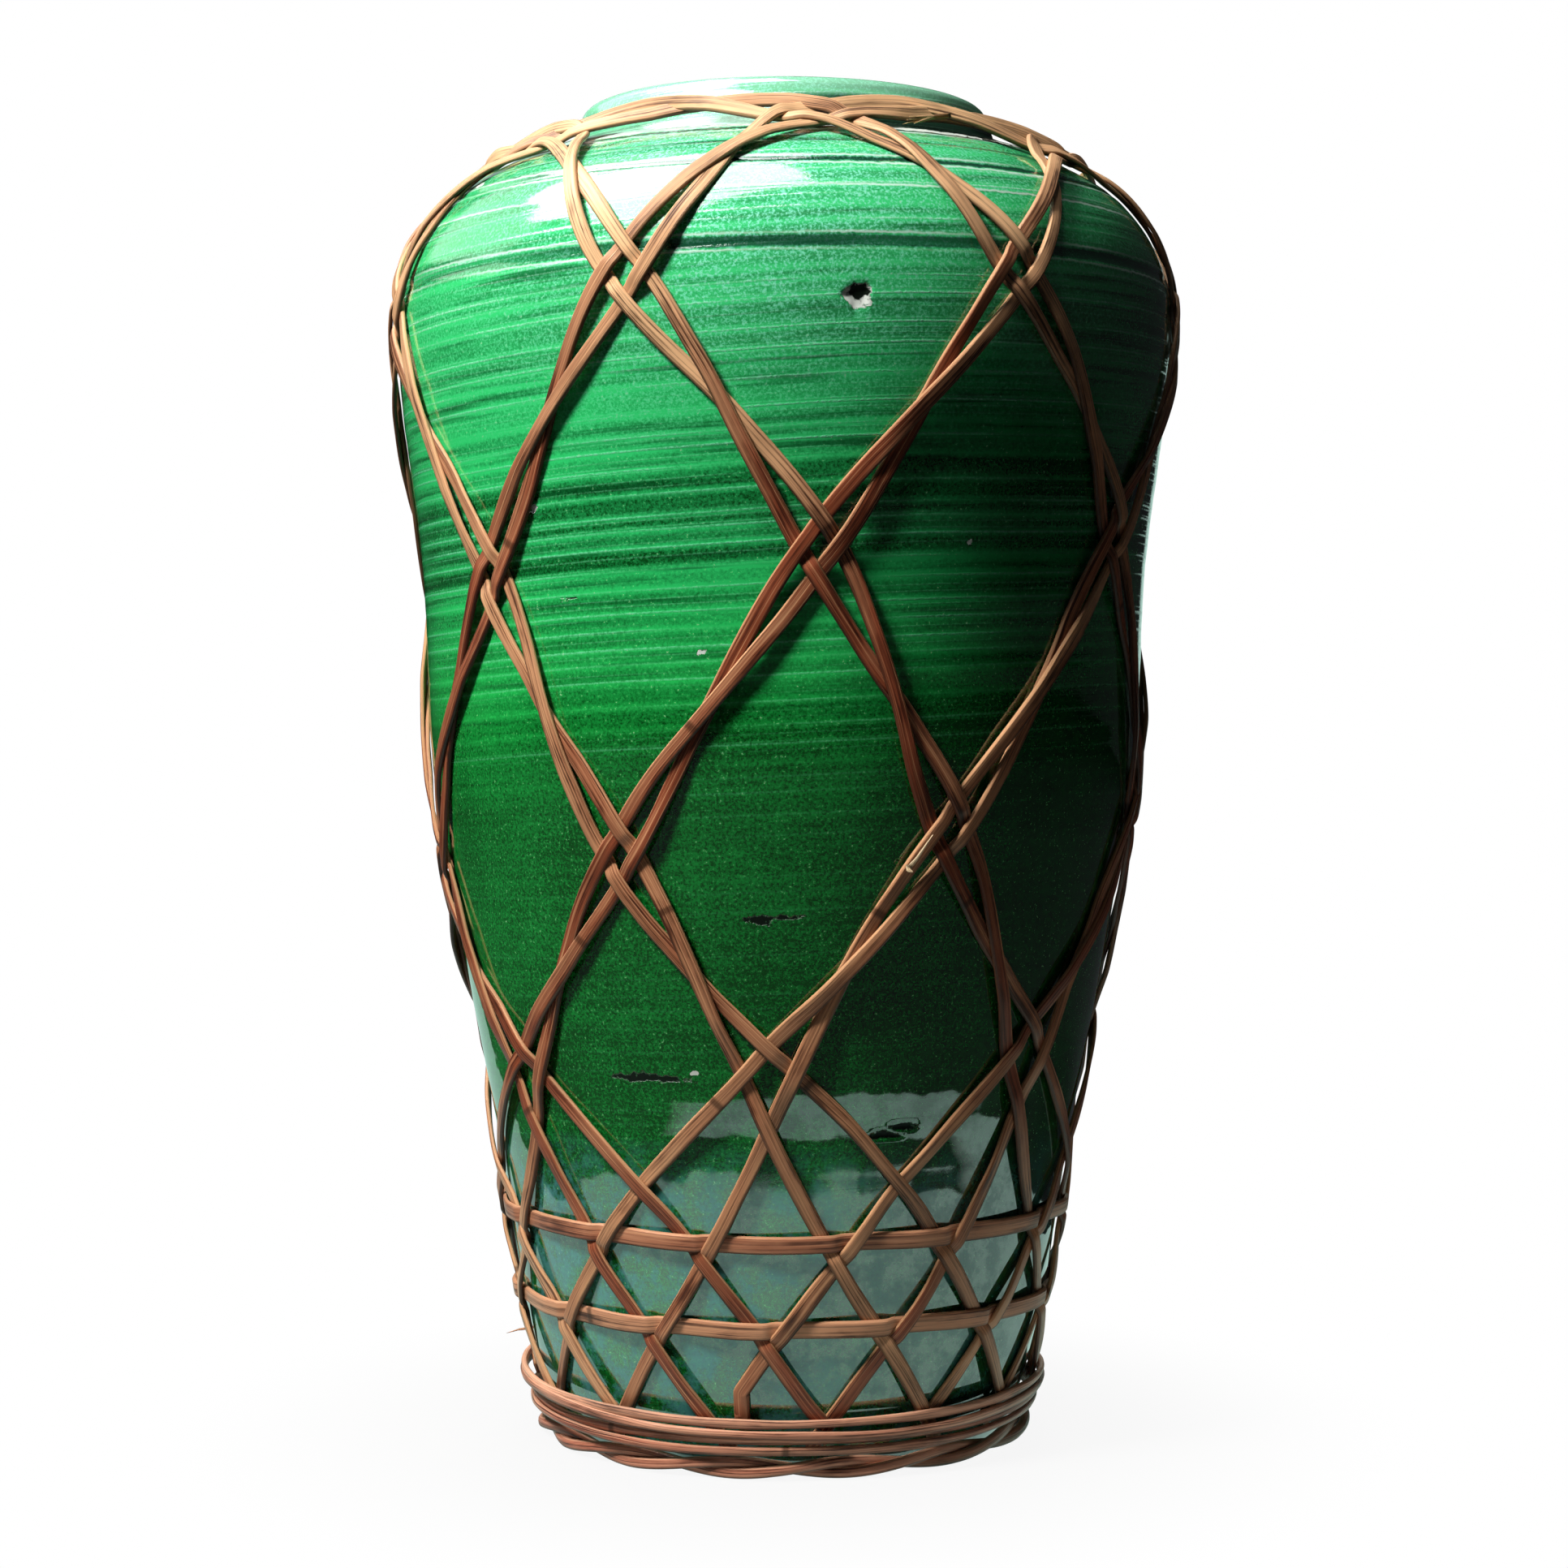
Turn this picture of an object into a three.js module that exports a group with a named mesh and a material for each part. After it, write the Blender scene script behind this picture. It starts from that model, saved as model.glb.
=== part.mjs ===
// A green-glazed stoneware vase held in a lacing of split bamboo.
// Millimetres, +Z up, the vase's axis on Z, its foot on the floor at Z = 0.
import * as THREE from 'three';
import { mergeVertices } from 'three/addons/utils/BufferGeometryUtils.js';

// Vase body: heights over the floor and outer radii of the wall
const FOOT_RADIUS = 50;
const HEEL_HEIGHT = 12;
const HEEL_RADIUS = 55;
const LOW_HEIGHT = 33;
const LOW_RADIUS = 60;
const SKIRT_HEIGHT = 63;
const SKIRT_RADIUS = 64.7;
const HIP_HEIGHT = 122;
const HIP_RADIUS = 75.6;
const BELLY_HEIGHT = 154;
const BELLY_RADIUS = 80.4;
const WAIST_HEIGHT = 192;
const WAIST_RADIUS = 82;
const SHOULDER_HEIGHT = 248;
const SHOULDER_RADIUS = 87.8;
// Above the shoulder each rise is counted from the place below it
const ROUND_RISE = 16;
const ROUND_RADIUS = 85.6;
const CREST_RISE = 13;
const CREST_RADIUS = 77.2;
const RIDGE_RISE = 9.5;
const RIDGE_RADIUS = 62;
const NECK_RISE = 5.5;
const NECK_RADIUS = 48;
const COLLAR_RISE = 8;
const LIP_RADIUS = 46.2;
const WALL = 6;
const LIP_THICKNESS = 5.6;
const FLOOR_THICKNESS = 7;
const FLOOR_ROUND = 5;
const SHOULDER_THICKNESS = 8;
const FOOT_RING_WIDTH = 7;
const FOOT_RECESS = 3;
const BODY_SIDES = 44;

// Bamboo strips
const PAIRS = 7;
const STRIP_WIDTH = 3.4;
const STRIP_THICKNESS = 0.8;
const BAND_WIDTH = 4;
const CLEARANCE = 0.5;
const PIECE_GAP = 0.42;
const FIRST_APEX = -20.2;
const APEX_INSET = 3.9;
const END_HEIGHT = 6.5;
const THINNING = 0.24;

// Rows of crossings: half pair-steps travelled from the neck, and the share of the wall gone down
const ROW_TRAVEL = [0, 1, 2, 3, 4, 5, 6, 6.5, 7, 7.16];
const ROW_SHARE = [0, 0.0215, 0.184, 0.37, 0.568, 0.731, 0.864, 0.923, 0.983, 1];
// Half the distance between the two strips of a pair; a change of sign is a twist of the pair
const SPREAD_TRAVEL = [0, 1, 2, 3, 4, 5, 5.5, 6, 6.5, 7, 7.16];
const SPREAD = [0, 4.2, -3.35, 3.35, -3.35, 4.9, 8.8, 10.8, 10.7, 10.2, 10.1];
const UPPER_BAND_TRAVEL = 5.83;
const LOWER_BAND_TRAVEL = 6.33;
const BAND_END_GAP = 0.7;

// How the hand-laid pattern leans, stretches and climbs round the vase
const LEAN = -8;
const STRETCH = 4;
const CLIMB = 6.5;

// Strand wound round the foot, and the twisted pair of strands under it
const WINDING_TURNS = 3.85;
const WINDING_DIAMETER = 1.9;
const WINDING_PITCH = 2.36;
const WINDING_STEPS = 32;
const BORDER_DIAMETER = 1.7;
const BORDER_TWISTS = 7;
const BORDER_LIFT = 0.45;
const STRAND_SIDES = 6;

const ROUND_HEIGHT = SHOULDER_HEIGHT + ROUND_RISE;
const CREST_HEIGHT = ROUND_HEIGHT + CREST_RISE;
const RIDGE_HEIGHT = CREST_HEIGHT + RIDGE_RISE;
const NECK_HEIGHT = RIDGE_HEIGHT + NECK_RISE;
const LIP_HEIGHT = NECK_HEIGHT + COLLAR_RISE;
const TURN = 2 * Math.PI;
const PAIR_STEP = TURN / PAIRS;
const HALF_STEP = PAIR_STEP / 2;
const LEVEL_RISE = STRIP_THICKNESS + PIECE_GAP;

// A smooth curve through given values that never overshoots them
function smoothThrough(xs, ys, startSlope) {
  const n = xs.length;
  const steps = xs.slice(1).map((x, i) => x - xs[i]);
  const slopes = steps.map((h, i) => (ys[i + 1] - ys[i]) / h);
  const bends = [startSlope];
  for (let i = 1; i < n - 1; i++) {
    const together = slopes[i - 1] * slopes[i] > 0;
    bends.push(together ? 2 / (1 / slopes[i - 1] + 1 / slopes[i]) : 0);
  }
  bends.push(slopes[n - 2]);
  return (x) => {
    let i = 0;
    while (i < n - 2 && x > xs[i + 1]) i++;
    const h = steps[i];
    const t = (x - xs[i]) / h;
    const u = 1 - t;
    const start = u * u * ((1 + 2 * t) * ys[i] + t * h * bends[i]);
    const end = t * t * ((3 - 2 * t) * ys[i + 1] - u * h * bends[i + 1]);
    return start + end;
  };
}

// The wall from foot to ridge, as a curve of radius and height
const wallStations = [
  [FOOT_RADIUS + 0.9, 1.6],
  [HEEL_RADIUS, HEEL_HEIGHT],
  [LOW_RADIUS, LOW_HEIGHT],
  [SKIRT_RADIUS, SKIRT_HEIGHT],
  [HIP_RADIUS, HIP_HEIGHT],
  [BELLY_RADIUS, BELLY_HEIGHT],
  [WAIST_RADIUS, WAIST_HEIGHT],
  [SHOULDER_RADIUS, SHOULDER_HEIGHT],
  [ROUND_RADIUS, ROUND_HEIGHT],
  [CREST_RADIUS, CREST_HEIGHT],
  [RIDGE_RADIUS, RIDGE_HEIGHT],
];

function curveThrough(stations) {
  const points = stations.map(([r, z]) => new THREE.Vector3(r, 0, z));
  return new THREE.CatmullRomCurve3(points, false, 'centripetal');
}

const wallCurve = curveThrough(wallStations);

// The line the bamboo lies along: from the collar straight to the ridge, then down the wall
const guideStations = [
  [NECK_RADIUS + 0.4, NECK_HEIGHT + 3],
  [(NECK_RADIUS + RIDGE_RADIUS) / 2 + 0.2, (NECK_HEIGHT + RIDGE_HEIGHT) / 2 + 2],
  [RIDGE_RADIUS + 0.3, RIDGE_HEIGHT + 0.6],
  ...wallStations.slice(0, -1).reverse(),
];
const guideCurve = curveThrough(guideStations);
const GUIDE_STEPS = 1200;
const guidePoints = guideCurve.getSpacedPoints(GUIDE_STEPS);
const guideLength = guideCurve.getLength();

function guideAt(s) {
  const x = Math.min(Math.max(s / guideLength, 0), 1) * GUIDE_STEPS;
  const i = Math.min(Math.floor(x), GUIDE_STEPS - 1);
  const a = guidePoints[i];
  const b = guidePoints[i + 1];
  const before = guidePoints[Math.max(i - 4, 0)];
  const after = guidePoints[Math.min(i + 5, GUIDE_STEPS)];
  const along = after.clone().sub(before).normalize();
  const t = x - i;
  return {
    r: a.x + (b.x - a.x) * t,
    z: a.z + (b.z - a.z) * t,
    outR: -along.z,
    outZ: along.x,
  };
}

// Distance down the guide at which it reaches a height
function guideDistance(z) {
  let i = 1;
  while (i < GUIDE_STEPS && guidePoints[i].z > z) i++;
  return (i / GUIDE_STEPS) * guideLength;
}

const runStart = APEX_INSET;
const runLength = guideDistance(END_HEIGHT) - runStart;
const shareAt = smoothThrough(ROW_TRAVEL, ROW_SHARE, 0);
const spreadAt = smoothThrough(SPREAD_TRAVEL, SPREAD, 1.5 * SPREAD[1]);
const distanceAt = (travel) => runStart + runLength * shareAt(travel);
const END_TRAVEL = ROW_TRAVEL[ROW_TRAVEL.length - 1];

// Pattern place (azimuth, distance down) to space, at an offset off the guide
function place(azimuth, s, offset) {
  const share = Math.min(Math.max((s - runStart) / runLength, 0), 1);
  const lean = THREE.MathUtils.degToRad(LEAN) * THREE.MathUtils.smoothstep(share, 0.28, 0.74);
  const stretch = THREE.MathUtils.degToRad(STRETCH) * Math.cos(0.9 * Math.PI * share);
  const swell = Math.sin(Math.PI * THREE.MathUtils.clamp((share - 0.12) / 0.73, 0, 1));
  const phi = azimuth + lean + stretch * Math.sin(azimuth);
  const g = guideAt(s - CLIMB * swell * Math.sin(azimuth));
  const normal = new THREE.Vector3(g.outR * Math.sin(phi), -g.outR * Math.cos(phi), g.outZ);
  const point = new THREE.Vector3(g.r * Math.sin(phi), -g.r * Math.cos(phi), g.z);
  return { point: point.addScaledVector(normal, offset), normal };
}

// One strip in the pattern: travel runs from one foot over the neck to the other foot
function tracePath(side) {
  const count = 736;
  const path = [];
  for (let i = 0; i <= count; i++) {
    const u = (2 * i / count - 1) * END_TRAVEL;
    const travel = Math.abs(u);
    const branch = Math.sign(u) || 1;
    const s = distanceAt(travel);
    const ds = (distanceAt(travel + 0.01) - distanceAt(Math.abs(travel - 0.01))) / 0.02;
    const r = guideAt(s).r;
    const steep = Math.atan2(travel < 0.01 ? 0 : ds, r * HALF_STEP);
    const shift = side * branch * spreadAt(travel);
    const down = s - Math.cos(steep) * shift;
    if (down > runStart + runLength) continue;
    path.push({
      u,
      branch,
      azimuth: u * HALF_STEP + branch * Math.sin(steep) * shift / r,
      s: down,
      upper: Math.sign(shift),
    });
  }
  let length = 0;
  path.forEach((p, i) => {
    const r = guideAt(p.s).r;
    const q = path[Math.max(i - 1, 0)];
    length += Math.hypot((p.azimuth - q.azimuth) * r, p.s - q.s);
    p.length = length;
  });
  return path;
}

const paths = { a: tracePath(1), b: tracePath(-1) };
const events = { a: [], b: [] };

// Half the length for which a strip must hold its level at a crossing
function holdLength(angle, ownWidth, otherWidth) {
  const slant = Math.min(angle, Math.PI - angle);
  return 1.06 * (otherWidth / 2 / Math.sin(slant) + ownWidth / 2 / Math.tan(slant)) + 0.1;
}

function direction(path, i) {
  const p = path[Math.max(i - 2, 0)];
  const q = path[Math.min(i + 3, path.length - 1)];
  const r = guideAt(path[i].s).r;
  return Math.atan2(q.s - p.s, (q.azimuth - p.azimuth) * r);
}

// Where path p meets path q when q is moved round by some pair steps
function crossings(p, q, shift) {
  const found = [];
  for (let i = 0; i < p.length - 1; i++) {
    const a = p[i];
    const b = p[i + 1];
    const loS = Math.min(a.s, b.s);
    const hiS = Math.max(a.s, b.s);
    for (let j = 0; j < q.length - 1; j++) {
      const c = q[j];
      const d = q[j + 1];
      if (Math.max(c.s, d.s) < loS || Math.min(c.s, d.s) > hiS) continue;
      const ax = b.azimuth - a.azimuth;
      const ay = b.s - a.s;
      const bx = d.azimuth - c.azimuth;
      const by = d.s - c.s;
      const cx = c.azimuth + shift - a.azimuth;
      const cy = c.s - a.s;
      const cross = ax * by - ay * bx;
      if (Math.abs(cross) < 1e-12) continue;
      const t = (cx * by - cy * bx) / cross;
      const w = (cx * ay - cy * ax) / cross;
      if (t >= 0 && t < 1 && w >= 0 && w < 1) {
        found.push({ i, j, atP: a.length + t * (b.length - a.length), atQ: c.length + w * (d.length - c.length) });
      }
    }
  }
  return found;
}

function addCrossing(p, q, hit, pOver) {
  const angle = Math.abs(direction(paths[p], hit.i) - direction(paths[q], hit.j));
  const hold = holdLength(angle, STRIP_WIDTH, STRIP_WIDTH);
  events[p].push({ at: hit.atP, level: pOver ? 1 : 0, hold });
  events[q].push({ at: hit.atQ, level: pOver ? 0 : 1, hold });
}

// The two strips of a pair: over and under change from run to run
for (const hit of crossings(paths.a, paths.b, 0)) {
  const run = Math.floor(Math.abs(paths.a[hit.i].u));
  addCrossing('a', 'b', hit, run % 2 === 1);
}

// Strips falling to the right meet strips falling to the left, row by row
for (let row = 1; row <= PAIRS; row++) {
  for (const p of ['a', 'b']) {
    for (const q of ['a', 'b']) {
      for (const hit of crossings(paths[p], paths[q], row * PAIR_STEP)) {
        const first = paths[p][hit.i];
        const second = paths[q][hit.j];
        if (first.branch < 0 || second.branch > 0) continue;
        addCrossing(p, q, hit, row >= 6 || first.upper === second.upper);
      }
    }
  }
}

// Bands go over the strips that fall to the right and under those that fall to the left
function bandCrossings(travel) {
  const s = distanceAt(travel);
  const list = [];
  for (const name of ['a', 'b']) {
    const path = paths[name];
    for (let i = 0; i < path.length - 1; i++) {
      const p = path[i];
      const q = path[i + 1];
      if ((p.s - s) * (q.s - s) > 0) continue;
      const t = (s - p.s) / (q.s - p.s);
      const angle = Math.abs(direction(path, i));
      const over = p.branch < 0;
      const at = p.length + t * (q.length - p.length);
      events[name].push({ at, level: over ? 1 : 0, hold: holdLength(angle, STRIP_WIDTH, BAND_WIDTH) });
      const azimuth = p.azimuth + t * (q.azimuth - p.azimuth);
      const hold = holdLength(angle, BAND_WIDTH, STRIP_WIDTH);
      for (let k = 0; k < PAIRS; k++) {
        list.push({ azimuth: azimuth + k * PAIR_STEP, level: over ? 0 : 1, hold });
      }
    }
  }
  return { s, list };
}

// Height off the guide along a strip or band: held at each crossing, sloping between
function liftAlong(list) {
  const sorted = [...list].sort((x, y) => x.at - y.at);
  const stops = [];
  sorted.forEach((e, i) => {
    const before = sorted[i - 1];
    const after = sorted[i + 1];
    let start = e.at - e.hold;
    let end = e.at + e.hold;
    if (before && before.at + before.hold > start) {
      start = e.at - e.hold * (e.at - before.at) / (e.hold + before.hold) + 0.05;
    }
    if (after && after.at - after.hold < end) {
      end = e.at + e.hold * (after.at - e.at) / (e.hold + after.hold) - 0.05;
    }
    const height = CLEARANCE + e.level * LEVEL_RISE;
    stops.push({ at: start, height }, { at: end, height });
  });
  const lift = (at) => {
    if (at <= stops[0].at) return stops[0].height;
    for (let i = 1; i < stops.length; i++) {
      const a = stops[i - 1];
      const b = stops[i];
      if (at <= b.at) return a.height + (b.height - a.height) * (at - a.at) / (b.at - a.at);
    }
    return stops[stops.length - 1].height;
  };
  return { lift, stops };
}

// Four corners of the strip's section at each place along it
function ribbonSections(stations, width) {
  return stations.map((st, i) => {
    const here = place(st.azimuth, st.s, st.height);
    const p = stations[Math.max(i - 1, 0)];
    const q = stations[Math.min(i + 1, stations.length - 1)];
    const along = place(q.azimuth, q.s, 0).point.sub(place(p.azimuth, p.s, 0).point).normalize();
    const across = new THREE.Vector3().crossVectors(here.normal, along).normalize();
    const corner = (side, rise) => here.point.clone()
      .addScaledVector(across, side * width / 2)
      .addScaledVector(here.normal, rise);
    return [corner(-1, 0), corner(1, 0), corner(1, STRIP_THICKNESS), corner(-1, STRIP_THICKNESS)];
  });
}

// Leaves out the sections that a straight stretch between their neighbours replaces
function thinSections(sections, tolerance) {
  const keep = new Set([0, sections.length - 1]);
  const stack = [[0, sections.length - 1]];
  while (stack.length) {
    const [from, to] = stack.pop();
    let worst = 0;
    let at = -1;
    for (let i = from + 1; i < to; i++) {
      for (let c = 0; c < 2; c++) {
        const line = new THREE.Line3(sections[from][c], sections[to][c]);
        const nearest = line.closestPointToPoint(sections[i][c], true, new THREE.Vector3());
        const off = nearest.distanceTo(sections[i][c]);
        if (off > worst) {
          worst = off;
          at = i;
        }
      }
    }
    if (worst > tolerance) {
      keep.add(at);
      stack.push([from, at], [at, to]);
    }
  }
  return sections.filter((_, i) => keep.has(i));
}

// Closed solid through a row of sections that all have the same number of corners
function skinSections(sections) {
  const sides = sections[0].length;
  const positions = sections.flat().flatMap((v) => [v.x, v.y, v.z]);
  const index = [];
  for (let i = 0; i < sections.length - 1; i++) {
    for (let c = 0; c < sides; c++) {
      const a = i * sides + c;
      const b = i * sides + (c + 1) % sides;
      index.push(a, b, a + sides, b, b + sides, a + sides);
    }
  }
  const last = (sections.length - 1) * sides;
  for (let c = 1; c < sides - 1; c++) {
    index.push(0, c + 1, c);
    index.push(last, last + c, last + c + 1);
  }
  const geometry = new THREE.BufferGeometry();
  geometry.setAttribute('position', new THREE.Float32BufferAttribute(positions, 3));
  geometry.setIndex(index);
  return geometry;
}

// Closed body of revolution, its outline starting and ending on the axis
function turnOutline(outline, sides) {
  const lathe = new THREE.LatheGeometry(outline, sides);
  lathe.deleteAttribute('normal');
  lathe.deleteAttribute('uv');
  lathe.rotateX(Math.PI / 2);
  const welded = mergeVertices(lathe, 1e-4);
  const source = welded.getIndex().array;
  const index = [];
  for (let i = 0; i < source.length; i += 3) {
    const [a, b, c] = [source[i], source[i + 1], source[i + 2]];
    if (a !== b && b !== c && c !== a) index.push(a, b, c);
  }
  welded.setIndex(index);
  return welded;
}

const glaze = new THREE.MeshStandardMaterial({ color: 0x12713a, roughness: 0.18, metalness: 0 });
const bamboo = new THREE.MeshStandardMaterial({ color: 0xb07c45, roughness: 0.6, metalness: 0 });
const bambooDark = new THREE.MeshStandardMaterial({ color: 0x80522c, roughness: 0.65, metalness: 0 });

const group = new THREE.Group();
group.name = 'bamboo_laced_vase';

function addPiece(name, geometry, material) {
  geometry.computeVertexNormals();
  const mesh = new THREE.Mesh(geometry, material);
  mesh.name = name;
  group.add(mesh);
}

// Vase body: recessed foot, wall, ridge, collar, rounded lip, and the hollow inside
const wallPoints = wallCurve.getSpacedPoints(21).map((p) => new THREE.Vector2(p.x, p.z));
const lipMiddle = LIP_RADIUS - LIP_THICKNESS / 2;
const lipRound = LIP_THICKNESS / 2;
const lipArc = [0, 45, 90, 135, 180].map((degrees) => {
  const a = THREE.MathUtils.degToRad(degrees);
  const y = LIP_HEIGHT - lipRound + lipRound * Math.sin(a);
  return new THREE.Vector2(lipMiddle + lipRound * Math.cos(a), y);
});
const neckInside = LIP_RADIUS - LIP_THICKNESS;
const innerFloor = FOOT_RECESS + FLOOR_THICKNESS;
const innerWall = wallCurve.getSpacedPoints(10).reverse()
  .map((p) => new THREE.Vector2(p.x - WALL, p.z))
  .filter((p) => p.y > innerFloor + 1.5 * FLOOR_ROUND && p.y < RIDGE_HEIGHT - 1.5 * SHOULDER_THICKNESS);
const bodyOutline = [
  new THREE.Vector2(0, FOOT_RECESS),
  new THREE.Vector2(FOOT_RADIUS - FOOT_RING_WIDTH - 2, FOOT_RECESS),
  new THREE.Vector2(FOOT_RADIUS - FOOT_RING_WIDTH, 0),
  new THREE.Vector2(FOOT_RADIUS, 0),
  ...wallPoints,
  new THREE.Vector2(RIDGE_RADIUS - 1.6, RIDGE_HEIGHT + 0.1),
  new THREE.Vector2(NECK_RADIUS + 1.6, NECK_HEIGHT - 0.8),
  new THREE.Vector2(NECK_RADIUS, NECK_HEIGHT + 0.8),
  ...lipArc,
  new THREE.Vector2(neckInside, RIDGE_HEIGHT - 0.4 * SHOULDER_THICKNESS),
  new THREE.Vector2(neckInside + WALL, RIDGE_HEIGHT - 0.75 * SHOULDER_THICKNESS),
  new THREE.Vector2(RIDGE_RADIUS - 2, RIDGE_HEIGHT - SHOULDER_THICKNESS),
  ...innerWall,
  new THREE.Vector2(HEEL_RADIUS - WALL - 0.4 * FLOOR_ROUND, innerFloor + 0.8 * FLOOR_ROUND),
  new THREE.Vector2(HEEL_RADIUS - WALL - 1.4 * FLOOR_ROUND, innerFloor),
  new THREE.Vector2(0, innerFloor),
];
addPiece('vase_body', turnOutline(bodyOutline, BODY_SIDES), glaze);

// Lacing strips
const upperBand = bandCrossings(UPPER_BAND_TRAVEL);
const lowerBand = bandCrossings(LOWER_BAND_TRAVEL);
const profiles = { a: liftAlong(events.a), b: liftAlong(events.b) };

function stationsAlong(path, profile) {
  const wanted = [...path.map((p) => p.length), ...profile.stops.map((stop) => stop.at)]
    .filter((at) => at >= 0 && at <= path[path.length - 1].length)
    .sort((x, y) => x - y);
  let i = 0;
  return wanted.map((at) => {
    while (i < path.length - 2 && path[i + 1].length < at) i++;
    const p = path[i];
    const q = path[i + 1];
    const t = (at - p.length) / (q.length - p.length);
    return {
      azimuth: p.azimuth + t * (q.azimuth - p.azimuth),
      s: p.s + t * (q.s - p.s),
      height: profile.lift(at),
      at,
    };
  }).filter((st, n, all) => n === 0 || st.at - all[n - 1].at > 0.02);
}

const firstApex = THREE.MathUtils.degToRad(FIRST_APEX);
for (let pair = 0; pair < PAIRS; pair++) {
  for (const name of ['a', 'b']) {
    const stations = stationsAlong(paths[name], profiles[name])
      .map((st) => ({ ...st, azimuth: st.azimuth + firstApex + pair * PAIR_STEP }));
    const sections = thinSections(ribbonSections(stations, STRIP_WIDTH), THINNING);
    addPiece(`lacing_strip_${pair + 1}${name}`, skinSections(sections), bamboo);
  }
}

// Bands: each one turn round, its ends butted under a strip at the back
function addBand(name, band) {
  const under = band.list.filter((e) => e.level === 0);
  const wrap = (x) => ((x % TURN) + TURN) % TURN;
  const away = (e) => Math.abs(wrap(e.azimuth + firstApex) - Math.PI);
  const joint = under.reduce((best, e) => (away(e) < away(best) ? e : best));
  const start = joint.azimuth + firstApex;
  const r = guideAt(band.s).r;
  const list = [];
  for (const e of band.list) {
    const turnOn = wrap(e.azimuth + firstApex - start);
    list.push({ at: turnOn * r, level: e.level, hold: e.hold });
  }
  list.push({ at: TURN * r, level: 0, hold: joint.hold });
  const profile = liftAlong(list);
  const ends = [BAND_END_GAP / 2, TURN * r - BAND_END_GAP / 2];
  const count = 360;
  const wanted = profile.stops.map((stop) => stop.at)
    .concat(Array.from({ length: count + 1 }, (_, i) => ends[0] + (ends[1] - ends[0]) * i / count))
    .filter((at) => at >= ends[0] && at <= ends[1])
    .sort((x, y) => x - y)
    .filter((at, i, all) => i === 0 || at - all[i - 1] > 0.02);
  const stations = wanted.map((at) => ({
    azimuth: start + at / r,
    s: band.s,
    height: profile.lift(at),
  }));
  const sections = thinSections(ribbonSections(stations, BAND_WIDTH), THINNING);
  addPiece(name, skinSections(sections), bambooDark);
}

addBand('upper_band', upperBand);
addBand('lower_band', lowerBand);

// Round strand along a line of points, each with the direction that faces away from the axis
function strand(points, diameter) {
  const sections = points.map((p, i) => {
    const before = points[Math.max(i - 1, 0)];
    const after = points[Math.min(i + 1, points.length - 1)];
    const along = after.clone().sub(before).normalize();
    const out = new THREE.Vector3(p.x, p.y, 0).normalize();
    const side = new THREE.Vector3().crossVectors(along, out).normalize();
    const up = new THREE.Vector3().crossVectors(side, along).normalize();
    return Array.from({ length: STRAND_SIDES }, (_, c) => {
      const a = TURN * (c + 0.5) / STRAND_SIDES;
      return p.clone()
        .addScaledVector(up, Math.cos(a) * diameter / 2)
        .addScaledVector(side, Math.sin(a) * diameter / 2);
    });
  });
  return skinSections(sections);
}

// Twisted border strands round the edge of the foot
const borderRound = (BORDER_DIAMETER + 0.62) / 2;
const borderHeight = BORDER_LIFT + borderRound + BORDER_DIAMETER / 2;
const footEdge = guideAt(guideDistance(2 * borderHeight)).r;
const borderRadius = footEdge + PIECE_GAP + borderRound + BORDER_DIAMETER / 2;
const borderSteps = BORDER_TWISTS * 8;
for (const [name, phase] of [['foot_border_a', 0], ['foot_border_b', Math.PI]]) {
  const points = [];
  const endAngle = BAND_END_GAP / 2 / borderRadius;
  for (let i = 0; i <= borderSteps; i++) {
    const turnOn = endAngle + (TURN - 2 * endAngle) * i / borderSteps;
    const twist = BORDER_TWISTS * turnOn + phase;
    const r = borderRadius + borderRound * Math.cos(twist);
    const z = borderHeight + borderRound * Math.sin(twist);
    points.push(new THREE.Vector3(-r * Math.sin(turnOn), r * Math.cos(turnOn), z));
  }
  addPiece(name, strand(points, BORDER_DIAMETER), bambooDark);
}

// Winding over the strip ends: one strand, turn above turn, leaning with the foot
const windingSteps = Math.round(WINDING_TURNS * WINDING_STEPS);
const windingStart = 2 * borderHeight - BORDER_LIFT + PIECE_GAP + WINDING_DIAMETER / 2 + 0.1;
const windingOffset = CLEARANCE + LEVEL_RISE + STRIP_THICKNESS + PIECE_GAP + WINDING_DIAMETER / 2 + 0.6;
const windingPoints = [];
for (let i = 0; i <= windingSteps; i++) {
  const turns = i / WINDING_STEPS;
  const g = guideAt(guideDistance(windingStart + WINDING_PITCH * turns) + 0);
  const r = g.r + windingOffset * g.outR;
  const z = windingStart + WINDING_PITCH * turns;
  const a = TURN * turns;
  windingPoints.push(new THREE.Vector3(-r * Math.sin(a), r * Math.cos(a), z));
}
addPiece('foot_winding', strand(windingPoints, WINDING_DIAMETER), bambooDark);

let windingGap = Infinity;
windingPoints.forEach((p, i) => {
  for (let j = i + WINDING_STEPS / 2; j < windingPoints.length; j++) {
    windingGap = Math.min(windingGap, p.distanceTo(windingPoints[j]) - WINDING_DIAMETER);
  }
});
console.log(`foot_winding least gap to itself ${windingGap.toFixed(2)} mm`);

export default group;
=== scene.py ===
# %% [markdown]
# # A green-glazed vase in a lacing of split bamboo
#
# The vase is a tall thrown jar, 300 mm high, with a rounded shoulder and a short collar. Seven pairs of
# bamboo strips cross over its whole height, two bands go round the lower part, and one long strand is wound
# round the foot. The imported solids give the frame. Each of them is replaced here by a fuller surface that lies
# in the same place, so the lesson is about shapes from formulas and about finishes from nodes.

# %% Load the frame
from functools import partial

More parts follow.
